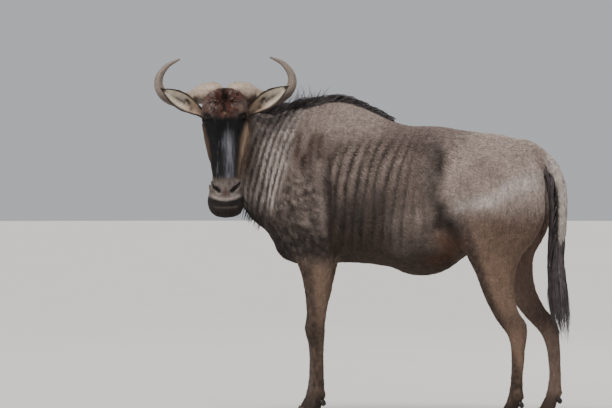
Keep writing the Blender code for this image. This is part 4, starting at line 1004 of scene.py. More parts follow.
    # behind the ears
    nape = fall(out, -0.075, -0.040) * fall(down, 0.07, 0.12)
    lay("dark_brown", 0.6 * nape)
    colour[near] += (face.colour - colour[near]) * on_head[near][:, None]
    return colour


def turn_towards(lie, aim, weight):
    """The lie, turned towards the aim by a weight at each point."""
    weight = weight[:, None]
    return lie * (1 - weight) + np.array(aim) * weight


def along_surface(directions, normals):
    """The directions without what stands up from the surface."""
    return directions - normals * (directions * normals).sum(axis=1)[:, None]


def lie_of_coat(points, normals):
    """Which way the hair lies along the skin at each point."""
    x, z = points[:, 0], points[:, 2]
    none = 0 * x
    lie = np.stack((0.80 + none, none, -0.62 + none), axis=1)
    lie = turn_towards(lie, (0.42, 0.0, -0.90), ramp(-x, 0.38, 0.50))  # neck
    lie = turn_towards(lie, (0.22, 0.0, -1.0), leg_zone(points))
    lie = turn_towards(lie, (0.30, 0.0, -0.95), ramp(x, 0.28, 0.40) * fall(z, 0.95, 1.10))  # thigh
    lie = turn_towards(lie, (0.12, 0.0, -1.0), ramp(x, 0.60, 0.635))  # tail
    turn = np.array(head_matrix().to_3x3())
    local, folded, _ = face_places(points)
    spread = np.stack((np.sign(local[:, 0]) * 0.28 * ramp(folded[:, 0], 0.01, 0.05), none, 1 + none), axis=1)
    spread = turn_towards(spread, (0.0, -0.75, 0.55), fall(folded[:, 1], -0.04, 0.02))  # cheeks
    crown = fall(folded[:, 2], 0.05, 0.09) * ramp(folded[:, 1], -0.04, 0.0)
    spread = turn_towards(spread, np.stack((local[:, 0] * 6, 0.25 + none, -0.75 + none), axis=1), crown)
    lie = along_surface(turn_towards(lie, spread @ turn.T, headness(points)), normals)
    swirl = np.stack([lattice_noise(points, 0.09, 20 + k) for k in range(3)], axis=1) * 0.10
    lie += along_surface(swirl, normals)
    return lie / np.maximum(np.linalg.norm(lie, axis=1), 1e-6)[:, None]


def reach_of_coat(points, normals):
    """How long the hair is at each point, as a share of the body's."""
    x, z, aside = points[:, 0], points[:, 2], np.abs(points[:, 1])
    reach = np.ones(len(points))
    reach += 0.45 * fall(z, 0.62, 0.78) * (1 - leg_zone(points))
    reach += 0.55 * fall(x, -0.52, -0.40) * fall(z, 0.86, 1.0) * fall(aside, 0.04, 0.10)
    leg = leg_zone(points)
    reach = reach * (1 - leg) + 0.60 * leg
    back_of_leg = leg * ramp(normals[:, 0], 0.3, 0.8)
    reach += 0.35 * back_of_leg + 0.5 * back_of_leg * bell(z, 0.10, 0.03)
    reach += 0.35 * ramp(x, 0.60, 0.64)
    _, folded, drop = face_places(points)
    face = 0.62 + 0.95 * bell(drop, 0.030, 0.040) * ramp(folded[:, 1], -0.03, 0.01)
    face += 0.9 * fall(folded[:, 2], 0.02, 0.05) * fall(folded[:, 0], 0.03, 0.06)
    face += 0.30 * fall(folded[:, 0], 0.02, 0.05) * ramp(drop, 0.10, 0.14) * fall(drop, 0.30, 0.36)
    face -= 0.26 * ramp(drop, 0.35, 0.39)
    face += 0.5 * ramp(-folded[:, 1], 0.12, 0.16)
    head = headness(points)
    return reach * (1 - head) + face * head


def bare_of_coat(points):
    """1 where hair grows, 0 at the eyes, nostrils, mouth and inside the hooves."""
    _, folded, drop = face_places(points)
    grown = np.ones(len(points))
    head = headness(points) > 0.5
    gaze, corners, across = eye_directions(1)
    from_eye = folded - np.array(EYE_PLACE)
    long = from_eye @ np.array(corners) / 0.0235
    tall = from_eye @ np.array(across) / 0.0135
    front = from_eye @ np.array(gaze) > 0.0
    grown[head & front & (long**2 + tall**2 < 1)] = 0
    slit = chain_distance(folded, [row[:3] for row in NOSTRIL])
    grown[head & (slit < 0.0085)] = 0
    rim = head & (drop > 0.462) & (drop < 0.500) & (folded[:, 1] > -0.03)
    grown[rim] = 0.25
    grown[points[:, 2] < CORONET_HEIGHT - 0.004] = 0
    return grown


def round_share(across, up):
    """How far round a limb each point lies, as a share of a whole turn."""
    return (np.arctan2(across, up) / (2 * math.pi)) % 1


def unwrap_places(points):
    """Where each point lies on one flat map of the skin: trunk, head, legs and tail each unrolled in turn."""
    x, y, z = points.T
    places = np.stack((0.02 + 0.96 * (x + 0.75) / 1.45, 0.02 + 0.46 * round_share(y, z - 0.93)), axis=1)
    local = in_head(points)
    round_head = round_share(local[:, 0], local[:, 1] + 0.03)
    head = np.stack((0.02 + 0.33 * round_head, 0.54 + 0.42 * (local[:, 2] + 0.05) / 0.6), axis=1)
    places = np.where((headness(points) > 0.5)[:, None], head, places)
    leg = leg_zone(points) > 0.5
    for k, (name, foot_x, foot_y) in enumerate(foot_places()):
        fore = name.startswith("fore")
        mine = leg & ((x < 0) == fore) & ((y < 0) == (foot_y < 0))
        round_leg = round_share(y - foot_y, x - foot_x)
        rolled = np.stack((0.38 + 0.14 * k + 0.12 * round_leg, 0.54 + 0.42 * z / 0.9), axis=1)
        places = np.where(mine[:, None], rolled, places)
    tail = (x > 0.635) & (np.abs(y) < 0.06)
    rolled = np.stack((0.945 + 0.04 * round_share(y, x - 0.68), 0.54 + 0.42 * (z - 0.3) / 0.9), axis=1)
    return np.clip(np.where(tail[:, None], rolled, places), *MAP_EDGES)


def smooth_finish(item, name, paint, replaced=()):
    """Gives a finished piece its name, place, material, body and slot."""
    item.name = name
    item.data.name = name
    item.data.transform(Matrix.Translation(STAND))
    item.data.materials.clear()
    item.data.materials.append(paint)
    item.data.shade_smooth()
    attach(item, BODY)
    if replaced:
        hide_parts(*replaced)
    return item


class Nodes:
    """Adds nodes to a tree, each input given a value or the output that feeds it."""

    def __init__(self, tree):
        self.nodes, self.links = tree.nodes, tree.links

    @staticmethod
    def pick(sockets, name):
        """The socket of this name that the node's settings leave in use."""
        return next(socket for socket in sockets if socket.enabled and socket.name == name)

    def feed(self, node, inputs):
        for key, value in inputs.items():
            socket = node.inputs[key] if isinstance(key, int) else self.pick(node.inputs, key)
            if isinstance(value, bpy.types.NodeSocket):
                self.links.new(value, socket)
            else:
                socket.default_value = value

    def add(self, kind, inputs=None, **settings):
        node = self.nodes.new(kind)
        for key, value in settings.items():
            setattr(node, key, value)
        self.feed(node, inputs or {})
        return node

    def math(self, operation, first, second):
        return self.add("ShaderNodeMath", {0: first, 1: second}, operation=operation).outputs[0]

    def scale(self, vector, factor):
        node = self.add("ShaderNodeVectorMath", operation="SCALE")
        self.feed(node, {0: vector, "Scale": factor})
        return node.outputs[0]

    def remap(self, value, low, high, from_low=0.0, from_high=1.0):
        """The value, moved from one range to another."""
        inputs = {"Value": value, "From Min": from_low, "From Max": from_high, "To Min": low, "To Max": high}
        return self.add("ShaderNodeMapRange", inputs).outputs["Result"]

    def stored(self, name, kind):
        """What a mesh stores under this name."""
        node = self.add("GeometryNodeInputNamedAttribute", data_type=kind)
        self.feed(node, {"Name": name})
        return self.pick(node.outputs, "Attribute")


# Finishes: roughness, grain along each axis, depth of relief, own tint for each strand, gloss, clear coat
FINISHES = {
    "hide": (0.78, (150, 150, 55), 0.0016, False, 0.2, 0.0),
    "coat_hair": (0.62, (60, 60, 30), 0.0, True, 0.2, 0.0),
    "long_hair": (0.50, (50, 50, 40), 0.0, True, 0.2, 0.0),
    "ear": (0.74, (500, 500, 500), 0.0005, False, 0.2, 0.0),
    "lid_skin": (0.50, (500, 500, 500), 0.0004, False, 0.2, 0.0),
    "eye_gloss": (0.16, (400, 400, 400), 0.0, False, 0.2, 1.0),
    "horn": (0.50, (170, 170, 170), 0.0007, False, 0.4, 0.0),
    "hoof": (0.46, (90, 90, 420), 0.0006, False, 0.4, 0.0),
}


def paint_for(name):
    """Hide, hair or horn: painted by the piece's own colours, streaked and roughened on a fine grain."""
    roughness, grain, depth, strand_tint, gloss, clear_coat = FINISHES[name]
    name += "_finish"
    if name in bpy.data.materials:
        return bpy.data.materials[name]
    made = bpy.data.materials.new(name)
    made.use_nodes = True
    tree = Nodes(made.node_tree)
    place = tree.add("ShaderNodeTexCoord").outputs["Object"]
    stretched = tree.add("ShaderNodeMapping", {"Vector": place, "Scale": grain}).outputs["Vector"]
    inputs = {"Vector": stretched, "Scale": 1.0, "Detail": 4.0, "Roughness": 0.6}
    noise = tree.add("ShaderNodeTexNoise", inputs).outputs["Fac"]
    paint = tree.add("ShaderNodeAttribute", attribute_name="coat_colour").outputs["Color"]
    shade = tree.remap(noise, 0.66, 1.30, 0.28, 0.72)
    if strand_tint:
        tint = tree.add("ShaderNodeAttribute", attribute_name="tint").outputs["Fac"]
        shade = tree.math("MULTIPLY", shade, tint)
    shader = made.node_tree.nodes["Principled BSDF"]
    tree.feed(shader, {
        "Base Color": tree.scale(paint, shade),
        "Roughness": tree.remap(noise, roughness - 0.10, roughness + 0.10),
        "Specular IOR Level": gloss, "Coat Weight": clear_coat, "Coat Roughness": CLEAR_COAT_ROUGHNESS,
    })
    if depth:
        bump = tree.add("ShaderNodeBump", {"Strength": 0.75, "Distance": depth, "Height": noise})
        tree.feed(shader, {"Normal": bump.outputs["Normal"]})
    return made


def tuft_shape():
    """One tuft: a closed bent blade, 1 long and 1 wide, thickest near its root, with its own flat map."""
    bm = bmesh.new()
    loops = []
    for along, wide, lift, thick in ((-0.05, 0.80, -0.55, 0.25), (0.50, 1.00, 0.30, 0.40)):
        corners = ((-wide / 2, lift), (wide / 2, lift), (0, lift + thick))
        loops.append([bm.verts.new((x, along, z)) for x, z in corners])
    point = bm.verts.new((0.0, 1.0, 0.30))
    for k in range(3):
        j = (k + 1) % 3
        bm.faces.new((loops[0][k], loops[0][j], loops[1][j], loops[1][k]))
        bm.faces.new((loops[1][k], loops[1][j], point))
    bm.faces.new(loops[0][::-1])
    item = new_object("tuft", bm)
    places = points_of(item.data)
    own = np.stack((places[:, 0] + 0.5, np.clip(places[:, 1], 0, 1), 0 * places[:, 0]), axis=1)
    put_values(item.data, "tuft_place", "FLOAT_VECTOR", own)
    return item


TUFT_INPUTS = (
    ("Surface", "Geometry", None), ("Tuft", "Object", None), ("Density", "Float", 40000.0),
    ("Spacing", "Float", 0.003), ("Length", "Float", 0.016), ("Width", "Float", 0.0034),
    ("Unruly", "Float", 0.2), ("Seed", "Int", 1), ("Patch", "Float", BAKE_PATCH),
    ("Material", "Material", None),
)


def tuft_tree():
    """Lays tufts over a surface along its lie: named inputs, a fixed seed, real mesh at the end."""
    if "Lay tufts" in bpy.data.node_groups:
        return bpy.data.node_groups["Lay tufts"]
    group = bpy.data.node_groups.new("Lay tufts", "GeometryNodeTree")
    group.is_modifier = True
    for name, kind, value in TUFT_INPUTS:
        made = group.interface.new_socket(name, in_out="INPUT", socket_type="NodeSocket" + kind)
        if value is not None:
            made.default_value = value
    group.interface.new_socket("Coat", in_out="OUTPUT", socket_type="NodeSocketGeometry")
    tree = Nodes(group)
    given = tree.add("NodeGroupInput").outputs

    def draw(kind, low, high, shift):
        """A value drawn for each tuft between low and high."""
        node = tree.add("FunctionNodeRandomValue", data_type=kind)
        tree.feed(node, {"Min": low, "Max": high, "Seed": tree.math("ADD", given["Seed"], shift)})
        return next(out for out in node.outputs if out.enabled)

    spread = tree.add("GeometryNodeDistributePointsOnFaces", distribute_method="POISSON")
    tree.feed(spread, {
        "Mesh": given["Surface"], "Distance Min": given["Spacing"], "Density Max": given["Density"],
        "Density Factor": tree.stored("thick", "FLOAT"), "Seed": given["Seed"],
    })
    turn = tree.add("FunctionNodeAxesToRotation", primary_axis="Z", secondary_axis="Y")
    lie = tree.stored("lie", "FLOAT_VECTOR")
    tree.feed(turn, {"Primary Axis": spread.outputs["Normal"], "Secondary Axis": lie})
    toss = tree.scale(draw("FLOAT_VECTOR", (-0.15, -0.5, -1.0), (0.45, 0.5, 1.0), 1), given["Unruly"])
    turned = tree.add("FunctionNodeRotateRotation", rotation_space="LOCAL")
    tree.feed(turned, {"Rotation": turn.outputs["Rotation"], "Rotate By": toss})
    reach = tree.math("MULTIPLY", given["Length"], tree.stored("reach", "FLOAT"))
    long = tree.math("MULTIPLY", reach, draw("FLOAT", 0.75, 1.25, 2))
    wide = tree.math("MULTIPLY", given["Width"], draw("FLOAT", 0.75, 1.25, 3))
    size = tree.add("ShaderNodeCombineXYZ", {"X": wide, "Y": long, "Z": wide}).outputs[0]
    shape = tree.add("GeometryNodeObjectInfo", {"Object": given["Tuft"]}, transform_space="ORIGINAL")
    laid = tree.add("GeometryNodeInstanceOnPoints", {
        "Points": spread.outputs["Points"], "Instance": shape.outputs["Geometry"],
        "Rotation": turned.outputs["Rotation"], "Scale": size,
    })
    tinted = tree.add("GeometryNodeStoreNamedAttribute", data_type="FLOAT", domain="INSTANCE")
    tint = draw("FLOAT", 0.84, 1.16, 4)
    tree.feed(tinted, {"Geometry": laid.outputs["Instances"], "Name": "tint", "Value": tint})
    real = tree.add("GeometryNodeRealizeInstances", {"Geometry": tinted.outputs["Geometry"]})
    place = tree.add("ShaderNodeVectorMath", operation="ADD")
    own = tree.scale(tree.stored("tuft_place", "FLOAT_VECTOR"), given["Patch"])
    tree.feed(place, {0: tree.stored("root_place", "FLOAT_VECTOR"), 1: own})
    mapped = tree.add("GeometryNodeStoreNamedAttribute", data_type="FLOAT2", domain="CORNER")
    place = place.outputs[0]
    tree.feed(mapped, {"Geometry": real.outputs["Geometry"], "Name": BAKE_MAP, "Value": place})
    inputs = {"Geometry": mapped.outputs["Geometry"], "Material": given["Material"]}
    painted = tree.add("GeometryNodeSetMaterial", inputs)
    tree.add("NodeGroupOutput", {"Coat": painted.outputs["Geometry"]})
    return group


def lay_coat(surface, name, values, paint):
    """A coat piece over the surface, which carries its own lie, reach, thickness, colour and map places."""
    item = put_in_scene(name, surface)
    tree = tuft_tree()
    modifier = item.modifiers.new("coat", "NODES")
    modifier.node_group = tree
    tuft = tuft_shape()
    values = dict(values, Tuft=tuft, Material=paint)
    for socket in tree.interface.items_tree:
        if socket.in_out == "INPUT" and socket.name in values:
            modifier[socket.identifier] = values[socket.name]
    apply_modifiers(item)
    bpy.data.objects.remove(tuft, do_unlink=True)
    for extra in ("lie", "reach", "thick", "root_place", "tuft_place"):
        if extra in item.data.attributes:
            item.data.attributes.remove(item.data.attributes[extra])
    item.data.materials.clear()
    item.data.materials.append(paint)
    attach(item, BODY)
    return item


class Hair:
    """Gathers strands of hair, each a closed tapered blade, for one piece."""

    def __init__(self):
        self.points, self.faces, self.colours, self.tints, self.places = [], [], [], [], []

    def strand(self, path, flats, width, thick, colour, tint, place):
        """One blade along the path, its flat side facing flats, from a root of this width to a point."""
        start = len(self.points)
        last = len(path) - 1
        for i in range(last):
            along = (path[i + 1] - path[max(i - 1, 0)]).normalized()
            side = along.cross(flats[i]).normalized()
            up = side.cross(along)
            taper = 1 - 0.85 * (i / last) ** 1.6
            wide, high = width / 2 * taper, thick * taper
            self.points += [path[i] + side * wide, path[i] - side * wide, path[i] + up * high]
        self.points.append(path[last])
        tip = start + 3 * last
        rings = [[start + 3 * i + k for k in range(3)] for i in range(last)]
        self.add_face((rings[0][0], rings[0][1], rings[0][2]), place, start, last)
        for first, second in zip(rings, rings[1:]):
            for k in range(3):
                j = (k + 1) % 3
                self.add_face((first[k], second[k], second[j], first[j]), place, start, last)
        for k in range(3):
            self.add_face((rings[-1][k], tip, rings[-1][(k + 1) % 3]), place, start, last)
        count = len(self.points) - start
        self.colours += [colour] * count
        self.tints += [tint] * count

    def add_face(self, corners, place, start, last):
        self.faces.append(corners)
        for index in corners:
            step = index - start
            own = (step % 3) / 2 if step < 3 * last else 0.5
            along = min(step // 3, last) / last
            self.places.append((place[0] + BAKE_PATCH * own, place[1] + BAKE_PATCH * along))

    def lock(self, draw, path, flats, half_width, strands, width, colour, place):
        """A lock: strands that set out side by side along the path and draw together at its tip."""
        last = len(path) - 1
        for _ in range(strands):
            aside = draw.uniform(-1, 1) * half_width
            above = draw.uniform(-0.2, 1) * half_width * 0.35
            own = draw.uniform(0.72, 1.08)
            bend = draw.uniform(-0.30, 0.30) * half_width
            made, faces = [], []
            for i in range(last + 1):
                share = i / last * own
                k = min(int(share * last), last - 1)
                t = share * last - k
                point = path[k].lerp(path[k + 1], t) if t <= 1 else path[last]
                along = (path[min(k + 1, last)] - path[max(k - 1, 0)]).normalized()
                flat = flats[min(k, last)]
                side = along.cross(flat).normalized()
                close = 1 - 0.70 * share**1.3
                made.append(point + side * (aside * close + bend * share * share) + flat * above * close)
                faces.append(flat)
            self.strand(made, faces, width, width * 0.45, colour, draw.uniform(0.6, 1.5), place)

    def finish(self, name, replaced=()):
        mesh = bpy.data.meshes.new(name)
        mesh.from_pydata(self.points, [], self.faces)
        put_colour(mesh, np.array(self.colours)[:, :3])
        put_values(mesh, "tint", "FLOAT", np.array(self.tints))
        layer = mesh.uv_layers.new(name=BAKE_MAP)
        layer.data.foreach_set("uv", np.array(self.places, np.float32).ravel())
        item = put_in_scene(name, mesh)
        bm = bmesh.new()
        bm.from_mesh(mesh)
        bmesh.ops.recalc_face_normals(bm, faces=bm.faces)
        bm.to_mesh(mesh)
        bm.free()
        return smooth_finish(item, name, paint_for("long_hair"), replaced)


def body_form():
    """The whole flesh of the animal as one closed skin, from overlapping lofts fused on a fine grid."""
    bm = bmesh.new()
    add_trunk(bm)
    add_neck(bm)
    add_skull(bm)
    for side in (-1, 1):
        add_leg(bm, FORELEG, side, RIGHT_FORE_STEP if side > 0 else 0)
        add_leg(bm, HINDLEG, side, RIGHT_HIND_STEP if side > 0 else 0)
    add_tail(bm)
    add_muscles(bm)
    body = new_object("body_form", bm)
    fuse = body.modifiers.new("fuse", "REMESH")
    fuse.mode = "VOXEL"
    fuse.voxel_size = FORM_VOXEL
    apply_modifiers(body)
    points = points_of(body.data)
    trunk = ramp(points[:, 2], 0.50, 0.72) * (1 - headness(points)) * ramp(points[:, 0], 0.66, 0.60)
    relax(body.data, 0.5 * trunk + 0.03, TRUNK_SMOOTHING)
    relax(body.data, np.full(len(points), 0.45), 3)
    return body


def refine_head(body):
    """Halves the grain of the mesh on the head and evens it there."""
    near = headness(points_of(body.data)) > 0.5
    bm = bmesh.new()
    bm.from_mesh(body.data)
    bm.verts.ensure_lookup_table()
    edges = [edge for edge in bm.edges if near[edge.verts[0].index] and near[edge.verts[1].index]]
    bmesh.ops.subdivide_edges(bm, edges=edges, cuts=1, use_grid_fill=True)
    bm.to_mesh(body.data)
    bm.free()
    relax(body.data, 0.5 * headness(points_of(body.data)), 2)


def almond(angle, grow=1.0):
    """A point of the edge of the lids: along the line of the corners and across it."""
    long, tall = EYE_OPENING[0] * 0.92 * grow, EYE_OPENING[1] * 0.90 * grow
    return long * math.cos(angle), tall * math.sin(angle) * (1 - 0.25 * math.cos(angle) ** 2)


def lid_point(side, angle, grow, radius):
    """A point over the eyeball, this far from its middle, at this place of the almond."""
    gaze, corners, across = eye_directions(side)
    along, over = almond(angle, grow)
    if side > 0:
        over = -over
    flat = corners * along + across * over
    depth = math.sqrt(max(EYE_RADIUS**2 - min(flat.length, EYE_RADIUS * 0.98) ** 2, 0))
    aim = (flat + gaze * depth).normalized()
    return eye_place(side) + aim * radius


def lid_cutter(side):
    """Opens the lids: a cone from the middle of the eye through the almond."""
    bm = bmesh.new()
    matrix = head_matrix()
    rings = []
    for radius in (EYE_RADIUS * 0.6, EYE_RADIUS * 1.1, EYE_RADIUS * 1.7):
        grow = 1.0 if radius < EYE_RADIUS * 1.5 else 1.15
        rings.append([matrix @ lid_point(side, 2 * math.pi * k / 32, grow, radius) for k in range(32)])
    loft(bm, rings)
    return new_object("lid_cutter", bm)


def add_nostril(bm, side, count, sides):
    """A bent slit that dips into the muzzle."""
    rings = []
    for x, y, z, size in smooth_rows(NOSTRIL, count):
        ring = []
        for angle in whole_turn(sides):
            out = Vector((0.35 * side, 0.94, 0)) * NOSTRIL_DEPTH * math.sin(angle)
            ring.append(Vector((x * side, y, z)) + out + Vector((0, 0, size * math.cos(angle))))
        rings.append([head_matrix() @ point for point in ring])
    loft(bm, rings)


def mouth_cutter():
    """The thin gap between the lips, from the corner of the mouth to its front."""
    along = (MOUTH_FRONT - MOUTH_CORNER).normalized()
    middle = (MOUTH_CORNER + MOUTH_FRONT) / 2
    half = (MOUTH_FRONT - MOUTH_CORNER).length / 2
    bm = bmesh.new()
    bmesh.ops.create_cube(bm, size=2)
    bmesh.ops.scale(bm, vec=(0.10, half, 0.0008), verts=bm.verts)
    turn = Matrix((X_AXIS, along, X_AXIS.cross(along))).transposed().to_4x4()
    bmesh.ops.transform(bm, matrix=head_matrix() @ Matrix.Translation(middle) @ turn, verts=bm.verts)
    return new_object("mouth_cutter", bm)


def sculpt(body, coat_depth):
    """Raises the fine forms of trunk and head and sinks the skin under its coat."""
    points, normals = points_of(body.data), normals_of(body.data)
    aside = ramp(np.abs(normals[:, 1]), 0.15, 0.5) * (1 - headness(points)) * ramp(points[:, 2], 0.55, 0.7)
    height = np.zeros(len(points))
    for start, end, width, rise in TRUNK_RELIEF:
        height += rise * spot(points, start, end, width)
    flank, neck, _ = flank_masks(points)
    height -= 0.0022 * flank * stripe(rib_phase(points), 0.3, 0.95) * (1 - 0.6 * ramp(points[:, 0], 0, 0.2))
    height -= 0.0016 * neck * stripe(neck_phase(points), 0.3, 0.95)
    height *= aside
    head = headness(points)
    near = np.nonzero(head > 0)[0]
    _, folded, _ = face_places(points[near])
    rise = np.zeros(len(near))
    for start, end, width, lift in HEAD_RELIEF:
        rise += lift * stroke(folded, start, end, width)
    height[near] += rise * head[near]
    height += 0.0007 * lattice_noise(points, 0.022, 12) * (1 - head)
    set_points(body.data, points + normals * (height - coat_depth)[:, None])


def flatten_feet(body):
    """Ends the skin just inside the top of each hoof."""
    points = points_of(body.data)
    for _, x, y in foot_places():
        point, normal = coronet_plane(x, y, 0.004)
        near = np.linalg.norm(points[:, :2] - np.array((x, y)), axis=1) < 0.09
        depth = (points - np.array(point)) @ np.array(normal)
        low = near & (depth < 0)
        points[low] -= depth[low][:, None] * np.array(normal)
        points[low, 0] = x + (points[low, 0] - x) * 0.94
        points[low, 1] = y + (points[low, 1] - y) * 0.94
    set_points(body.data, points)


def carry_coat(mesh, points, normals, tints, thick):
    """Stores on the mesh what its coat is laid from."""
    put_colour(mesh, markings(points, normals, tints))
    put_values(mesh, "lie", "FLOAT_VECTOR", lie_of_coat(points, normals))
    put_values(mesh, "reach", "FLOAT", reach_of_coat(points, normals))
    put_values(mesh, "thick", "FLOAT", thick)
    places = np.pad(unwrap_places(points), ((0, 0), (0, 1)))
    put_values(mesh, "root_place", "FLOAT_VECTOR", places)


def tints_of(settings):
    """Every colour by its own short name."""
    return {name: np.array(getattr(settings, name)) for name in COLOURS}


COLOURS = {
    "body": ((0.37, 0.325, 0.305), "Flank and neck between the markings"),
    # the pale tint also lays the painted gloss highlights on the flank
    "pale": ((0.56, 0.505, 0.475), "Withers and the light bands"),
    "rump": ((0.605, 0.545, 0.515), "Rump"),
    # this tint lays the real light stripes of the neck and the pale of the tail, and also the painted sheen
    # highlight on the rump
    "silver": ((0.70, 0.66, 0.64), "Sheen of the rump and the light stripes of the neck"),
    "brown": ((0.43, 0.375, 0.355), "Middle of the back"),
    "shoulder": ((0.26, 0.19, 0.16), "Streaks of the shoulder"),
    "dark_brown": ((0.17, 0.135, 0.12), "Curls of the shoulder and stripes of the neck"),
    # the dark tint also lays the painted shade in the folds of the elbow, flank and thigh
    "dark": ((0.14, 0.115, 0.105), "Stripes of the flank, folds and chest"),
    "dark_belly": ((0.225, 0.185, 0.16), "Underside"),
    "orange": ((0.34, 0.205, 0.12), "Groin"),
    "leg": ((0.45, 0.365, 0.31), "Legs"),
    "tan": ((0.64, 0.54, 0.46), "Brows, the streak of the cheek and inside of the legs"),
    "cheek": ((0.28, 0.215, 0.18), "Cheeks and jaw"),
    "forehead": ((0.32, 0.215, 0.19), "Hair between the horns and the eyes"),
    "face": ((0.030, 0.030, 0.042), "Front of the face"),
    # painted highlight: this tint is the sheen down the middle of the face
    "slate": ((0.46, 0.46, 0.49), "Sheen down the middle of the face"),
    "muzzle": ((0.44, 0.40, 0.385), "Muzzle above the lip"),
    "lip": ((0.68, 0.63, 0.60), "Pale edge of the upper lip and nostril pads"),
    "black": ((0.022, 0.019, 0.020), "Mane, beard, switch, lips and nostrils"),
    "mane": ((0.27, 0.245, 0.25), "Mane, beard and switch"),
    "ear_inside": ((0.79, 0.735, 0.66), "Hair inside the ears"),
    "horn": ((0.51, 0.455, 0.415), "Middle of the horns"),
    "horn_base": ((0.66, 0.585, 0.52), "Swollen bases of the horns"),
    "horn_dark": ((0.19, 0.14, 0.12), "Outer bend and tips of the horns"),
    "hoof": ((0.12, 0.10, 0.09), "Hooves and dewclaws"),
    "iris": ((0.20, 0.11, 0.06), "Iris of the eyes"),
}


class WildebeestForm(bpy.types.PropertyGroup):
    """Sizes of the skin and of what grows on it."""

    coat_depth: bpy.props.FloatProperty(
        name="Coat depth", description="How far the skin lies under the outside of the coat",
        default=0.0018, min=0.0, max=0.01, subtype="DISTANCE", unit="LENGTH",
    )
    tuft_length: bpy.props.FloatProperty(
        name="Tuft length", description="Length of the body's short hair",
        default=0.017, min=0.002, max=0.05, subtype="DISTANCE", unit="LENGTH",
    )
    tuft_width: bpy.props.FloatProperty(
        name="Tuft width", description="Width of one tuft of the body's short hair",
        default=0.0034, min=0.0005, max=0.02, subtype="DISTANCE", unit="LENGTH",
    )
    tuft_unruliness: bpy.props.FloatProperty(
        name="Unruliness", description="How far a tuft may turn from the lie of the coat",
        default=0.22, min=0.0, max=1.5, subtype="ANGLE", unit="ROTATION",
    )
    strand_width: bpy.props.FloatProperty(
        name="Strand width", description="Width of one strand of the long hair",
        default=0.0024, min=0.0005, max=0.01, subtype="DISTANCE", unit="LENGTH",
    )
    horn_roughness: bpy.props.FloatProperty(
        name="Horn roughness", description="How coarse the bases of the horns are",
        default=0.0038, min=0.0, max=0.01, subtype="DISTANCE", unit="LENGTH",
    )


WildebeestColours = type(
    "WildebeestColours",
    (bpy.types.PropertyGroup,),
    {
        "__doc__": "Colours of the coat, hair, horns, hooves and eyes.",
        "__annotations__": {
            name: bpy.props.FloatVectorProperty(
                name=name.replace("_", " ").capitalize(), description=words,
                default=linear(*colour), size=3, min=0.0, max=1.0, subtype="COLOR",
            )
            for name, (colour, words) in COLOURS.items()
        },
    },
)


class WildebeestStage(bpy.types.PropertyGroup):
    """Floor, lights and lens."""

    floor_colour: bpy.props.FloatVectorProperty(
        name="Floor", description="Colour of the floor",
        default=linear(0.86, 0.855, 0.84), size=3, min=0.0, max=1.0, subtype="COLOR",
    )
    key_strength: bpy.props.FloatProperty(
        name="Key light", description="Strength of the soft light above", default=3.5, min=0.0,
    )
    fill_power: bpy.props.FloatProperty(
        name="Fill light", description="Power of the light beside the camera", default=60.0, min=0.0,
        subtype="POWER", unit="POWER",
    )
    sky_strength: bpy.props.FloatProperty(
        name="Surroundings", description="Strength of the even light from all round", default=0.52, min=0.0,
    )
    camera_distance: bpy.props.FloatProperty(
        name="Camera distance", description="From the camera to the animal",
        default=CAMERA_DISTANCE, min=2.0, subtype="DISTANCE", unit="LENGTH",
    )


class OBJECT_OT_wildebeest_skin(bpy.types.Operator):
    """Makes the one skin of the animal, from its poll to its coronets"""

    bl_idname = "object.wildebeest_skin"
    bl_label = "Skin"

    def execute(self, context):
        form = context.scene.wildebeest_form
        body = body_form()
        refine_head(body)
        from_step = np.linalg.norm((points_of(body.data) - SHEATH_STEP[0]) / SHEATH_STEP[1], axis=1)
        relax(body.data, 0.6 * fall(from_step, 0.6, 1.3), 25)
        sculpt(body, form.coat_depth)
        cutters = []
        for side in (-1, 1):
            socket, slit = bmesh.new(), bmesh.new()
            ball(socket, head_matrix() @ eye_place(side), (EYE_RADIUS + SOCKET_PLAY,) * 3, sides=48)
            add_nostril(slit, side, 20, 16)
            cutters += [new_object("socket", socket), lid_cutter(side), new_object("slit", slit)]
        cut_away(body, cutters + [mouth_cutter()])
        keep_largest_shell(body)
        flatten_feet(body)
        points, normals = points_of(body.data), normals_of(body.data)
        tints = tints_of(context.scene.wildebeest_colours)
        carry_coat(body.data, points, normals, tints, bare_of_coat(points))
        smooth_finish(body, "skin", paint_for("hide"), FLESH_NODES)
        return {"FINISHED"}


def keep_largest_shell(item):
    """Drops every closed surface but the largest."""
    bm = bmesh.new()
    bm.from_mesh(item.data)
    bm.faces.ensure_lookup_table()
    seen, shells = set(), []
    for face in bm.faces:
        if face.index in seen:
            continue
        group, todo = [], [face]
        seen.add(face.index)
        while todo:
            now = todo.pop()
            group.append(now)
            for edge in now.edges:
                for other in edge.link_faces:
                    if other.index not in seen:
                        seen.add(other.index)
                        todo.append(other)
        shells.append(group)
    shells.sort(key=len, reverse=True)
    dropped = [face for group in shells[1:] for face in group]
    if dropped:
        bmesh.ops.delete(bm, geom=dropped, context="FACES")
        stray = [vert for vert in bm.verts if not vert.link_faces]
        bmesh.ops.delete(bm, geom=stray, context="VERTS")
    bm.to_mesh(item.data)
    bm.free()


def skin_and_place():
    """The finished skin, its points in the animal's own frame, and its normals."""
    skin = bpy.data.objects["skin"]
    points = points_of(skin.data) - np.array(STAND)
    return skin, points, normals_of(skin.data)


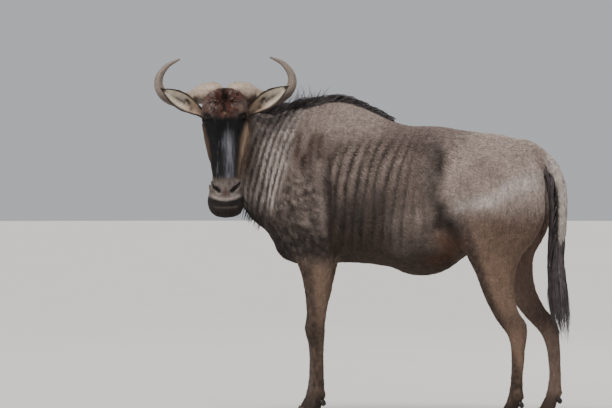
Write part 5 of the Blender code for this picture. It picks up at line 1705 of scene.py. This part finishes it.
def regions_of(points):
    """The parts of the skin that carry one coat piece each."""
    x = points[:, 0]
    head = headness(points) > 0.5
    leg = (leg_zone(points) > 0.5) & ~head
    face = head & (in_head(points)[:, 1] > FACE_BACK)
    found = {"coat_face": face, "coat_cheeks": head & ~face}
    left = points[:, 1] < 0
    before, behind = x < FLANK_ENDS[0], x >= FLANK_ENDS[1]
    for name, inside in (("forehand", before), ("flank", ~before & ~behind), ("quarter", behind)):
        found[f"coat_{name}_left"] = inside & left & ~head & ~leg
        found[f"coat_{name}_right"] = inside & ~left & ~head & ~leg
    found["coat_forelegs"] = leg & (x < 0)
    found["coat_hindlegs"] = leg & (x >= 0)
    return found


# Density, spacing, share of the body's tuft length and width of each coat piece
COAT_GRAIN = {
    "coat_face": (200000, 0.0017, 0.62, 0.58),
    "coat_cheeks": (130000, 0.0021, 0.72, 0.66),
    "coat_forelegs": (70000, 0.0031, 0.90, 0.92),
    "coat_hindlegs": (70000, 0.0031, 0.90, 0.92),
}
COAT_GRAIN_ELSEWHERE = (55000, 0.0033, 1.04, 1.06)
FACE_BACK = -0.02  # the face's coat ends here, in the head's frame
FLANK_ENDS = (-0.16, 0.24)  # x where the flank's coat begins and ends


class OBJECT_OT_wildebeest_coat(bpy.types.Operator):
    """Lays the short coat over the skin in tufts that follow its lie"""

    bl_idname = "object.wildebeest_coat"
    bl_label = "Short coat"

    def execute(self, context):
        form = context.scene.wildebeest_form
        skin, points, _ = skin_and_place()
        paint = paint_for("coat_hair")
        grown = bare_of_coat(points)
        for seed, (name, inside) in enumerate(regions_of(points).items()):
            density, spacing, long, wide = COAT_GRAIN.get(name, COAT_GRAIN_ELSEWHERE)
            surface = skin.data.copy()
            put_values(surface, "thick", "FLOAT", grown * inside)
            values = {
                "Density": float(density), "Spacing": spacing, "Length": form.tuft_length * long,
                "Width": form.tuft_width * wide, "Unruly": form.tuft_unruliness, "Seed": seed + 1,
            }
            lay_coat(surface, name, values, paint)
        return {"FINISHED"}


def move_to_side(item, side):
    """Moves a piece made in the head's frame to its own side of the head."""
    matrix = head_matrix() @ Matrix.Diagonal((side, 1, 1, 1))
    item.data.transform(matrix)
    if side < 0:
        item.data.flip_normals()
    return matrix


class OBJECT_OT_wildebeest_eyes(bpy.types.Operator):
    """Makes both eyes and the lids round them"""

    bl_idname = "object.wildebeest_eyes"
    bl_label = "Eyes and lids"

    def execute(self, context):
        tints = tints_of(context.scene.wildebeest_colours)
        tints.update({name: np.array(linear(*colour)) for name, colour in EYE_COLOURS.items()})
        for name, side in HEAD_SIDES.items():
            self.build_ball(name, side, tints)
            self.build_lids(name, side, tints)
        return {"FINISHED"}

    def build_ball(self, name, side, tints):
        """An eyeball with a low cornea, a dark iris and a wide level pupil."""
        gaze, corners, across = eye_directions(side)
        bm = bmesh.new()
        turn = Matrix((corners, across, gaze)).transposed().to_4x4()
        bmesh.ops.create_uvsphere(bm, u_segments=72, v_segments=48, radius=EYE_RADIUS, matrix=turn)
        item = new_object("eyeball", bm)
        points = points_of(item.data)
        aim = points / np.linalg.norm(points, axis=1)[:, None]
        front, level, over = (aim @ np.array(way) for way in (gaze, corners, across))
        away = np.hypot(level, over)
        points += aim * (CORNEA_RISE * ramp(front, 0.80, 0.97))[:, None]
        paint = Paint(tints, "eyeball", len(points))
        paint.lay("iris", fall(away, 0.60, 0.68) * (front > 0))
        paint.lay("pupil", fall(np.hypot(level / 1.5, over), 0.22, 0.28) * (front > 0))
        paint.lay("pupil", bell(away, 0.64, 0.04))
        set_points(item.data, points)
        put_colour(item.data, paint.colour)
        item.data.transform(head_matrix() @ Matrix.Translation(eye_place(side)))
        smooth_finish(item, name + "_eyeball", paint_for("eye_gloss"), ("eye_" + name,))

    def build_lids(self, name, side, tints):
        """A rolled margin round the opening, with a fold behind it, closed all the way round."""
        matrix = head_matrix()
        bm = bmesh.new()
        rings = []
        for angle in whole_turn(56):
            heavy = 1 + 0.35 * max(math.sin(angle), 0)
            ring = []
            for grow, lift in LID_PROFILE:
                lift = lift * heavy if lift > 0.002 else lift
                ring.append(bm.verts.new(matrix @ lid_point(side, angle, grow, EYE_RADIUS + lift)))
            rings.append(ring)
        for first, second in zip(rings, rings[1:] + rings[:1]):
            bridge(bm, first, second)
        item = new_object("lids", bm)
        finer = item.modifiers.new("finer", "SUBSURF")
        finer.levels = finer.render_levels = 1
        apply_modifiers(item)
        put_colour(item.data, all_over(tints["lids"], len(item.data.vertices)))
        smooth_finish(item, name + "_lids", paint_for("lid_skin"))


class OBJECT_OT_wildebeest_horns(bpy.types.Operator):
    """Makes both horns, coarse at their swollen bases and smooth at their tips"""

    bl_idname = "object.wildebeest_horns"
    bl_label = "Horns"

    def execute(self, context):
        tints = tints_of(context.scene.wildebeest_colours)
        for name, side in HEAD_SIDES.items():
            self.build_horn(name, side, context.scene.wildebeest_form.horn_roughness, tints)
        return {"FINISHED"}

    def build_horn(self, name, side, roughness, tints):
        rows = smooth_rows(HORN, 120)
        last = len(rows) - 1
        rings, shares, angles = [], [], []
        for i, (x, y, z, radius) in enumerate(rows):
            along = Vector(rows[min(i + 1, last)][:3] - rows[max(i - 1, 0)][:3]).normalized()
            across = along.cross(Y_AXIS).normalized()
            deep = along.cross(across)
            ring = []
            for a in whole_turn(40):
                point = Vector((x, y, z)) + across * radius * math.cos(a) + deep * radius * math.sin(a)
                point.x = max(point.x, HORN_MIDLINE + 0.0015 * math.sin(9 * a))
                ring.append(point)
                shares.append(i / last)
                angles.append(a)
            rings.append(ring)
        bm = bmesh.new()
        loft(bm, rings)
        item = new_object("horn", bm)
        points, normals = points_of(item.data), normals_of(item.data)
        share = np.array(shares)
        coarse = fall(share, 0.22, 0.50)
        fibres = lattice_noise(points * np.array((0.35, 1.0, 1.0)), 0.0055, 31)
        lumps = lattice_noise(points, 0.020, 32)
        growth = np.sin(share * 190 + 2.5 * lattice_noise(points, 0.03, 33)) * ramp(share, 0.12, 0.30)
        growth *= fall(share, 0.55, 0.80)
        height = roughness * coarse * (0.55 * fibres + 0.9 * lumps) + 0.00028 * growth
        points += normals * height[:, None]
        paint = Paint(tints, "horn", len(points))
        paint.lay("horn_base", 0.9 * coarse)
        paint.lay("horn_dark", 0.60 * coarse * ramp(-fibres - 0.6 * lumps, 0.35, 1.1))
        paint.lay("horn_dark", 0.45 * coarse * ramp(normals[:, 2], 0.1, 0.8))
        paint.lay("horn_dark", 0.70 * bell(share, 0.50, 0.13) * ramp(points[:, 2], -0.05, 0.02))
        streaks = lattice_noise(np.stack((share * 3.0, np.cos(angles), np.sin(angles)), axis=1), 0.16, 34)
        paint.lay("horn_dark", (1 - coarse) * (0.22 + 0.30 * streaks))
        paint.lay("horn_dark", 0.35 * ramp(share, 0.90, 1.0))
        paint.lay("horn_dark", 0.16 * ramp(growth, 0.3, 1.0))
        set_points(item.data, points)
        put_colour(item.data, paint.colour)
        move_to_side(item, side)
        smooth_finish(item, name + "_horn", paint_for("horn"), ("horn_" + name,))


class OBJECT_OT_wildebeest_ears(bpy.types.Operator):
    """Makes both ears with their rims and the hair inside them"""

    bl_idname = "object.wildebeest_ears"
    bl_label = "Ears"

    def execute(self, context):
        tints = tints_of(context.scene.wildebeest_colours)
        for name, side in HEAD_SIDES.items():
            self.build_ear(name, side, context.scene.wildebeest_form, tints)
        return {"FINISHED"}

    def build_ear(self, name, side, form, tints):
        along = (EAR_TIP - EAR_ROOT).normalized()
        facing = (EAR_FACING - along * EAR_FACING.dot(along)).normalized()
        across = along.cross(facing)
        rings, shares, wraps, insides = [], [], [], []
        count = 17
        place = list(np.linspace(-1, 1, count))
        for share, half, wrap, thick in smooth_rows(EAR, 56):
            wrap = math.radians(wrap)
            radius = half / math.sin(min(wrap, math.pi / 2))
            bend = 0.004 * math.sin(math.pi * share)
            centre = EAR_ROOT.lerp(EAR_TIP, share) - facing * bend + facing * radius * 0.5
            outer, inner = [], []
            for angle in np.linspace(-wrap, wrap, count):
                aim = across * math.sin(angle) - facing * math.cos(angle)
                edge = 1 - 0.45 * abs(angle / wrap) ** 3
                ripple = 0.0007 * math.sin(share * 34 + angle * 3) * abs(angle / wrap)
                outer.append(centre + aim * (radius - 0.0006 + ripple))
                inner.append(centre + aim * max(radius - thick * edge, radius * 0.3))
            rings.append(outer + inner[::-1])
            shares += [share] * (2 * count)
            wraps += place + place[::-1]
            insides += [0.0] * count + [1.0] * count
        bm = bmesh.new()
        loft(bm, rings)
        item = new_object("ear", bm)
        share, wrap, inside = np.array(shares), np.array(wraps), np.array(insides)
        put_colour(item.data, self.colour_ear(points_of(item.data), share, wrap, inside, tints))
        matrix = move_to_side(item, side)
        self.carry_hair(item.data, np.array(matrix.to_3x3() @ along), share, wrap, inside, side)
        smooth_finish(item, name + "_ear", paint_for("ear"), ("ear_" + name,))
        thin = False
        values = {
            "Density": 60000.0 if thin else 260000.0, "Spacing": 0.0030 if thin else 0.0014,
            "Length": form.tuft_length * 0.85, "Width": form.tuft_width * 0.50,
            "Unruly": form.tuft_unruliness * 1.5, "Seed": 60 + side,
        }
        lay_coat(item.data.copy(), name + "_ear_hair", values, paint_for("coat_hair"))

    def colour_ear(self, points, share, wrap, inside, tints):
        """Dark behind; pale hair inside with dark patches and a dark rim."""
        fine = lattice_noise(points, 0.010, 41)
        back = Paint(tints, "cheek", len(points))
        back.lay("dark_brown", 0.45 + 0.4 * fine)
        front = Paint(tints, "ear_inside", len(points))
        front.lay("tan", 0.85 * fall(share, 0.30, 0.56))
        patches = 1.2 * bell(share, 0.50, 0.13) * bell(wrap, -0.15, 0.34)
        patches += bell(share, 0.34, 0.05) * bell(wrap, 0.30, 0.25)
        patches += 0.8 * bell(share, 0.66, 0.12) * bell(wrap, 0.10, 0.16)
        front.lay("dark", 0.95 * patches * (0.75 + 0.5 * fine))
        front.lay("dark_brown", 0.97 * np.maximum(ramp(np.abs(wrap), 0.60, 0.84), ramp(share, 0.88, 0.95)))
        return back.colour + (front.colour - back.colour) * inside[:, None]

    def carry_hair(self, mesh, along, share, wrap, inside, side):
        """Stores on the mesh how its hair lies, and where."""
        lie = along_surface(along[None, :] + 0 * points_of(mesh), normals_of(mesh))
        inward = inside * (1 - np.abs(wrap)) * 0.6
        put_values(mesh, "lie", "FLOAT_VECTOR", lie)
        put_values(mesh, "reach", "FLOAT", 0.55 + 0.45 * inward + 0.4 * fall(share, 0.1, 0.35))
        put_values(mesh, "thick", "FLOAT", ramp(share, 0.02, 0.05) * (1 - 0.35 * inside))
        across = 0.02 + 0.3 * share + (0.5 if side > 0 else 0)
        places = np.stack((across, 0.5 + 0.2 * wrap + 0.25 * inside, 0 * share), axis=1)
        put_values(mesh, "root_place", "FLOAT_VECTOR", np.clip(places, *MAP_EDGES))


class OBJECT_OT_wildebeest_hooves(bpy.types.Operator):
    """Makes the four cloven hooves and the dewclaws behind them"""

    bl_idname = "object.wildebeest_hooves"
    bl_label = "Hooves"

    def execute(self, context):
        tints = tints_of(context.scene.wildebeest_colours)
        for name, x, y in foot_places():
            self.build_hoof(name, x, y, tints)
            self.build_dewclaws(name, x, y, tints)
        return {"FINISHED"}

    def build_hoof(self, name, x, y, tints):
        """Two claws joined under the coronet, with growth lines and a cleft between them."""
        bm = bmesh.new()
        rings = []
        for height, toe, heel, half in smooth_rows(HOOF, 30):
            ring = []
            for angle in whole_turn(64):
                cos, sin = math.cos(angle), math.sin(angle)
                reach = toe if cos < 0 else heel
                broad = abs(sin) ** 0.8 * math.copysign(1, sin)
                ring.append(Vector((x + reach * cos, y + half * broad, max(height, 0.0))))
            rings.append(ring)
        loft(bm, rings)
        point, normal = coronet_plane(x, y, 0.0004)
        cut = bmesh.ops.bisect_plane(
            bm, geom=bm.verts[:] + bm.edges[:] + bm.faces[:], dist=1e-6,
            plane_co=point, plane_no=normal, clear_outer=True,
        )
        edges = [item for item in cut["geom_cut"] if isinstance(item, bmesh.types.BMEdge)]
        bmesh.ops.edgenet_fill(bm, edges=edges)
        item = new_object("hoof", bm)
        width, height = CLEFT
        cleft = bmesh.new()
        bmesh.ops.create_cube(cleft, size=1)
        bmesh.ops.scale(cleft, vec=(0.080, width, height + 0.01), verts=cleft.verts)
        bmesh.ops.translate(cleft, vec=(x - 0.020, y, (height - 0.01) / 2), verts=cleft.verts)
        cut_away(item, [new_object("cleft", cleft)])
        points, normals = points_of(item.data), normals_of(item.data)
        side_wall = ramp(1 - np.abs(normals[:, 2]), 0.2, 0.6)
        growth = np.sin(points[:, 2] * 900 + 1.6 * lattice_noise(points, 0.02, 51))
        points += normals * (0.00022 * growth * side_wall)[:, None]
        set_points(item.data, points)
        paint = Paint(tints, "hoof", len(points))
        paint.lay("brown", 0.35 * ramp(points[:, 2], 0.030, 0.055) + 0.12 * growth)
        paint.lay("pale", 0.25 * fall(points[:, 2], 0.0, 0.010))
        put_colour(item.data, paint.colour)
        smooth_finish(item, name + "_hoof", paint_for("hoof"), ("hoof_" + name,))
        item.data.set_sharp_from_angle(angle=math.radians(42))

    def build_dewclaws(self, name, x, y, tints):
        radius, half, height = DEWCLAW
        back = x + DEWCLAW_BACK[name[:4]]
        turn = Matrix.Rotation(math.radians(-30), 4, "Y") @ Matrix.Diagonal((radius, radius * 0.85, half, 1))
        bm = bmesh.new()
        for side in (-1, 1):
            matrix = Matrix.Translation((back, y + side * DEWCLAW_APART, height)) @ turn
            bmesh.ops.create_uvsphere(bm, u_segments=28, v_segments=18, radius=1, matrix=matrix)
        item = new_object("dewclaws", bm)
        put_colour(item.data, all_over(tints["hoof"], len(item.data.vertices)))
        replaced = ["dewclaw_" + name + place for place in ("_inner", "_outer")]
        smooth_finish(item, name + "_dewclaws", paint_for("hoof"), replaced)


def flesh_finder():
    """Finds the nearest skin, in the animal's own frame."""
    skin, points, _ = skin_and_place()
    return BVHTree.FromPolygons([Vector(p) for p in points], [p.vertices[:] for p in skin.data.polygons])


def locks_of(kind):
    """Counts the locks of this kind of hair."""
    return range(LOCKS[kind][1])


def root_place(point):
    """The place of one root on the flat map of the skin."""
    return unwrap_places(np.array([point]))[0]


class OBJECT_OT_wildebeest_mane(bpy.types.Operator):
    """Makes the mane: it falls to the far side, laps the near one and lies back along the crest"""

    bl_idname = "object.wildebeest_mane"
    bl_label = "Mane"

    def execute(self, context):
        form, colours = context.scene.wildebeest_form, context.scene.wildebeest_colours
        finder = flesh_finder()
        draw = random.Random(11)
        black = np.array(colours.mane)
        hair = Hair()
        thin = 1
        places, heights = zip(*MANE)
        front, length_of_mane = places[0] + 0.01, places[-1] - places[0] - 0.03
        for start, length, sag, count, half_width, lift in MANE_HAIR:
            for i in range(count // thin):
                x = front + length_of_mane * (i + draw.random()) * thin / count
                share = np.interp(x, places, heights) / MANE_HEIGHT
                hit, _ = crest_point(finder, x)
                ranges = ((-0.15, 0.2), (-0.15, 0.15), (-0.08, 0.08))
                toss = Vector([draw.uniform(low, high) for low, high in ranges])
                own = length * (0.5 + 0.5 * share) * (1 - 0.6 * ramp(x, -0.44, -0.14))
                own *= draw.uniform(0.75, 1.12)
                root = hit + Vector((0, draw.uniform(-0.010, 0.014), -0.004))
                path = bent_path(root, start + toss, own, sag, 7)
                path[1:] = [push_out(finder, point, lift * (1 + draw.random())) for point in path[1:]]
                flats = [finder.find_nearest(point)[1] for point in path]
                colour = black * draw.uniform(0.7, 1.5)
                hair.lock(draw, path, flats, half_width, 7, form.strand_width, colour, root_place(root))
        for i in range(POLL_SPIKES // thin):
            x = draw.uniform(-0.590, -0.350)
            hit, _ = crest_point(finder, x)
            start = Vector((draw.uniform(-0.35, 1.30), draw.uniform(-0.45, 0.35), 1.0))
            own = POLL_SPIKE_LENGTH * draw.uniform(0.55, 1.15)
            path = bent_path(hit + Vector((0, draw.uniform(-0.02, 0.02), -0.004)), start, own, 0.12, 6)
            flats = [Vector((0, 1, 0.2)).normalized()] * 6
            width = form.strand_width
            hair.strand(path, flats, width * 0.9, width * 0.4, black, 1.2, root_place(path[0]))
        hair.finish("mane_hair", ("mane",))
        self.build_forelock(finder, form, colours)
        return {"FINISHED"}

    def build_forelock(self, finder, form, colours):
        """Tufts that stand over the inner ends of the horns and fall over the forehead."""
        draw = random.Random(23)
        matrix = head_matrix()
        turn = matrix.to_3x3()
        hair = Hair()
        for _ in locks_of("forelock"):
            side, down = draw.uniform(-0.052, 0.052), draw.uniform(0.012, 0.078)
            root, normal, _, _ = finder.ray_cast(matrix @ Vector((side, 0.3, down)), turn @ -Y_AXIS)
            if root is None:
                continue
            rise = 1 - down / 0.045
            start = turn @ Vector((side * 5, 0.25 if rise > 0 else 0.45, -1.2 * rise)).normalized()
            own = (0.034 if rise > 0 else 0.022) * draw.uniform(0.7, 1.2)
            path = bent_path(root - normal * 0.002, start, own, 0.30, 6)
            path[1:] = [push_out(finder, point, 0.002) for point in path[1:]]
            middle = abs(side) < 0.003 + 0.007 * draw.random()
            aside = colours.muzzle if draw.random() < 16 * abs(side) - 0.20 else colours.forehead
            colour = np.array(colours.dark if middle else aside) * draw.uniform(1.2, 2.3)
            hair.lock(draw, path, [normal] * 6, 0.007, 9, form.strand_width * 0.5, colour, root_place(root))
        hair.finish("forelock")


class OBJECT_OT_wildebeest_beard(bpy.types.Operator):
    """Makes the beard under the jaw and the fringe down the throat"""

    bl_idname = "object.wildebeest_beard"
    bl_label = "Beard and throat"

    def execute(self, context):
        colours = context.scene.wildebeest_colours
        width = context.scene.wildebeest_form.strand_width * 0.8
        self.build_beard(width, np.array(colours.mane))
        self.build_throat(width, np.array(colours.black) * 1.4)
        return {"FINISHED"}

    def build_beard(self, width, black):
        draw = random.Random(23)
        matrix = head_matrix()
        turn = matrix.to_3x3()
        hair = Hair()
        table = smooth_rows(BEARD, 61)
        for _ in locks_of("beard"):
            down, out, half, length = table[int(draw.random() * 60)]
            side = draw.uniform(-1, 1)
            root = matrix @ Vector((side * half * 0.9, out + 0.014 + 0.006 * abs(side), down))
            start = Vector((side * 0.30 + draw.uniform(-0.12, 0.12), 0.62 + draw.uniform(-0.15, 0.15), -0.8))
            own = (length + 0.016) * draw.uniform(0.65, 1.10) * (1 - 0.25 * abs(side))
            path = bent_path(root, start, own, 0.40, 6)
            flats = [(turn @ Vector((0.3 * side, -0.8, 0.2))).normalized()] * 6
            colour = black * draw.uniform(0.7, 1.6)
            hair.lock(draw, path, flats, 0.008, 5, width, colour, root_place(root))
        hair.finish("beard_hair", ("beard",))

    def build_throat(self, width, dark):
        draw = random.Random(37)
        finder = flesh_finder()
        hair = Hair()
        for _ in locks_of("throat"):
            z = draw.uniform(THROAT_LOW - 0.02, THROAT_TOP + 0.03)
            y = THROAT_Y + draw.uniform(-0.022, 0.022)
            hit, normal, _, _ = finder.ray_cast(Vector((-1.2, y, z)), X_AXIS)
            if hit is None:
                continue
            share = math.sin(math.pi * min(max((z - THROAT_LOW) / (THROAT_TOP - THROAT_LOW), 0.02), 0.98))
            start = normal * 0.50 + Vector((0, draw.uniform(-0.25, 0.25), -0.85))
            own = 0.060 * draw.uniform(0.6, 1.1) * (0.5 + 0.5 * share)
            path = bent_path(hit - normal * 0.003, start, own, 0.30, 6)
            path[2:] = [push_out(finder, point, 0.003) for point in path[2:]]
            hair.lock(draw, path, [normal] * 6, 0.007, 5, width, dark, root_place(hit))
        hair.finish("throat_hair", ("throat_fringe",))


def at_height(rows, z):
    """The x and the radius that rows of x, z and radius have at this height."""
    places, heights, radii = zip(*rows)
    depths = [-height for height in heights]
    return np.interp(-z, depths, places), np.interp(-z, depths, radii)


class OBJECT_OT_wildebeest_switch(bpy.types.Operator):
    """Makes the long black hair at the end of the tail"""

    bl_idname = "object.wildebeest_switch"
    bl_label = "Tail switch"

    def execute(self, context):
        width = context.scene.wildebeest_form.strand_width
        black = 1.2 * np.array(context.scene.wildebeest_colours.mane)
        hair = Hair()
        self.add_switch(hair, width, black)
        self.add_fringe(hair, width, black)
        hair.finish("switch_hair", ("tail_switch",))
        return {"FINISHED"}

    def add_switch(self, hair, width, black):
        """Hair all round the end of the tail."""
        draw = random.Random(5)
        for _ in locks_of("switch"):
            top = draw.uniform(0.580, 0.770)
            angle = draw.uniform(0, 2 * math.pi)
            out = Vector((math.cos(angle), math.sin(angle), 0))
            own = (0.300 if top > 0.66 else 0.245) * draw.uniform(0.80, 1.10)
            sway = draw.uniform(-0.012, 0.012)
            path = []
            for share in np.linspace(0, 1, 9):
                z = top - own * share
                if z > SWITCH[0][1]:
                    x, radius = at_height(TAIL, z)
                    radius -= 0.001
                else:
                    x, radius = at_height(SWITCH, z)
                reach = max(radius * (1.0 if share < 0.15 else 0.9), 0.001) - 0.004 * (share == 0)
                path.append(Vector((x + sway * share * share, 0, max(z, 0.30))) + out * reach)
            colour = black * draw.uniform(0.7, 1.5)
            hair.lock(draw, path, [out] * 9, 0.010, 7, width, colour, root_place(path[0]))

    def add_fringe(self, hair, width, black):
        """Hair that hangs from the front of the dock, against the legs."""
        draw = random.Random(7)
        for _ in locks_of("fringe"):
            top = draw.uniform(0.74, 1.07)
            length = draw.uniform(0.15, 0.23)
            aside = draw.uniform(-0.9, 0.9)
            out = Vector((-math.cos(aside), math.sin(aside), 0))
            path = []
            for share in np.linspace(0, 1, 7):
                z = top - length * share
                x, radius = at_height(TAIL[2:], z)
                lift = 0.022 * math.sin(math.pi * min(share, 0.6)) - 0.003
                path.append(Vector((x, 0, z)) + out * (radius + lift))
            colour = black * draw.uniform(0.8, 1.6)
            hair.lock(draw, path, [out] * 7, 0.009, 5, width, colour, root_place(path[0]))


def turned_along(direction):
    """The rotation of a lamp or a camera that looks this way."""
    return direction.to_track_quat("-Z", "Y").to_euler()


class OBJECT_OT_wildebeest_stage(bpy.types.Operator):
    """Sets the pale floor, the soft lights and the camera"""

    bl_idname = "object.wildebeest_stage"
    bl_label = "Stage"

    def execute(self, context):
        stage = context.scene.wildebeest_stage
        self.build_floor(stage)
        self.build_lights(context, stage)
        self.build_camera(context, stage)
        return {"FINISHED"}

    def build_floor(self, stage):
        bm = bmesh.new()
        bmesh.ops.create_circle(bm, cap_ends=True, segments=96, radius=FLOOR_RADIUS)
        floor = new_object("floor", bm)
        made = bpy.data.materials.new("floor")
        made.use_nodes = True
        tree = Nodes(made.node_tree)
        place = tree.add("ShaderNodeTexCoord").outputs["Object"]
        noise = tree.add("ShaderNodeTexNoise", {"Vector": place, "Scale": 1.3, "Detail": 6.0}).outputs["Fac"]
        tone = Vector(stage.floor_colour)
        blend = tree.add("ShaderNodeMix", data_type="RGBA")
        tree.feed(blend, {"Factor": noise, "A": (*(tone * 0.94), 1), "B": (*tone, 1)})
        colour = tree.pick(blend.outputs, "Result")
        tree.feed(made.node_tree.nodes["Principled BSDF"], {"Base Color": colour, "Roughness": 0.85})
        floor.data.materials.append(made)

    def build_lights(self, context, stage):
        world = bpy.data.worlds.new("studio")
        world.use_nodes = True
        sky = world.node_tree.nodes["Background"]
        sky.inputs["Color"].default_value = SKY_COLOUR
        sky.inputs["Strength"].default_value = stage.sky_strength
        context.scene.world = world
        sun = bpy.data.lights.new("key", "SUN")
        sun.energy = stage.key_strength
        sun.angle = SUN_SPREAD
        sun.color = SUN_COLOUR
        put_in_scene("key", sun).rotation_euler = turned_along(SUN_WAY)
        for name, (place, colour) in LAMPS.items():
            lamp = bpy.data.lights.new(name, "AREA")
            lamp.size = LAMP_SIZE
            lamp.energy = stage.fill_power
            lamp.color = colour
            item = put_in_scene(name, lamp)
            item.location = place
            item.rotation_euler = turned_along(STAND + LAMP_AIM - place)

    def build_camera(self, context, stage):
        lens = bpy.data.cameras.new("camera")
        lens.sensor_width = SENSOR_WIDTH
        lens.lens = SENSOR_WIDTH * stage.camera_distance / CAMERA_VIEW_WIDTH
        lens.clip_end = 200
        aim = CAMERA_AIM + STAND
        back = Vector((math.sin(CAMERA_AROUND), -math.cos(CAMERA_AROUND), 0))
        place = aim + back * stage.camera_distance
        place.z = CAMERA_HEIGHT
        camera = put_in_scene("camera", lens)
        camera.location = place
        camera.rotation_euler = turned_along(aim - place)
        context.scene.camera = camera


PIECES = (
    OBJECT_OT_wildebeest_skin, OBJECT_OT_wildebeest_coat, OBJECT_OT_wildebeest_eyes,
    OBJECT_OT_wildebeest_horns, OBJECT_OT_wildebeest_ears, OBJECT_OT_wildebeest_hooves,
    OBJECT_OT_wildebeest_mane, OBJECT_OT_wildebeest_beard, OBJECT_OT_wildebeest_switch,
    OBJECT_OT_wildebeest_stage,
)


class VIEW3D_PT_wildebeest(bpy.types.Panel):
    """The animal's pieces, sizes and colours"""

    bl_idname = "VIEW3D_PT_wildebeest"
    bl_label = "Wildebeest"
    bl_space_type = "VIEW_3D"
    bl_region_type = "UI"
    bl_category = "Wildebeest"

    def draw(self, context):
        layout = self.layout
        for group in (
            context.scene.wildebeest_form, context.scene.wildebeest_colours, context.scene.wildebeest_stage,
        ):
            box = layout.box()
            for key in group.__annotations__:
                box.prop(group, key)
        for piece in PIECES:
            layout.operator(piece.bl_idname)


GROUPS = {
    "wildebeest_form": WildebeestForm,
    "wildebeest_colours": WildebeestColours,
    "wildebeest_stage": WildebeestStage,
}


def register():
    for name, group in GROUPS.items():
        bpy.utils.register_class(group)
        setattr(bpy.types.Scene, name, bpy.props.PointerProperty(type=group))
    for piece in PIECES + (VIEW3D_PT_wildebeest,):
        bpy.utils.register_class(piece)


def unregister():
    for piece in reversed(PIECES + (VIEW3D_PT_wildebeest,)):
        bpy.utils.unregister_class(piece)
    for name, group in GROUPS.items():
        delattr(bpy.types.Scene, name)
        bpy.utils.unregister_class(group)


def main():
    register()
    for piece in PIECES:
        family, name = piece.bl_idname.split(".")
        getattr(getattr(bpy.ops, family), name)()


if __name__ == "__main__":
    main()
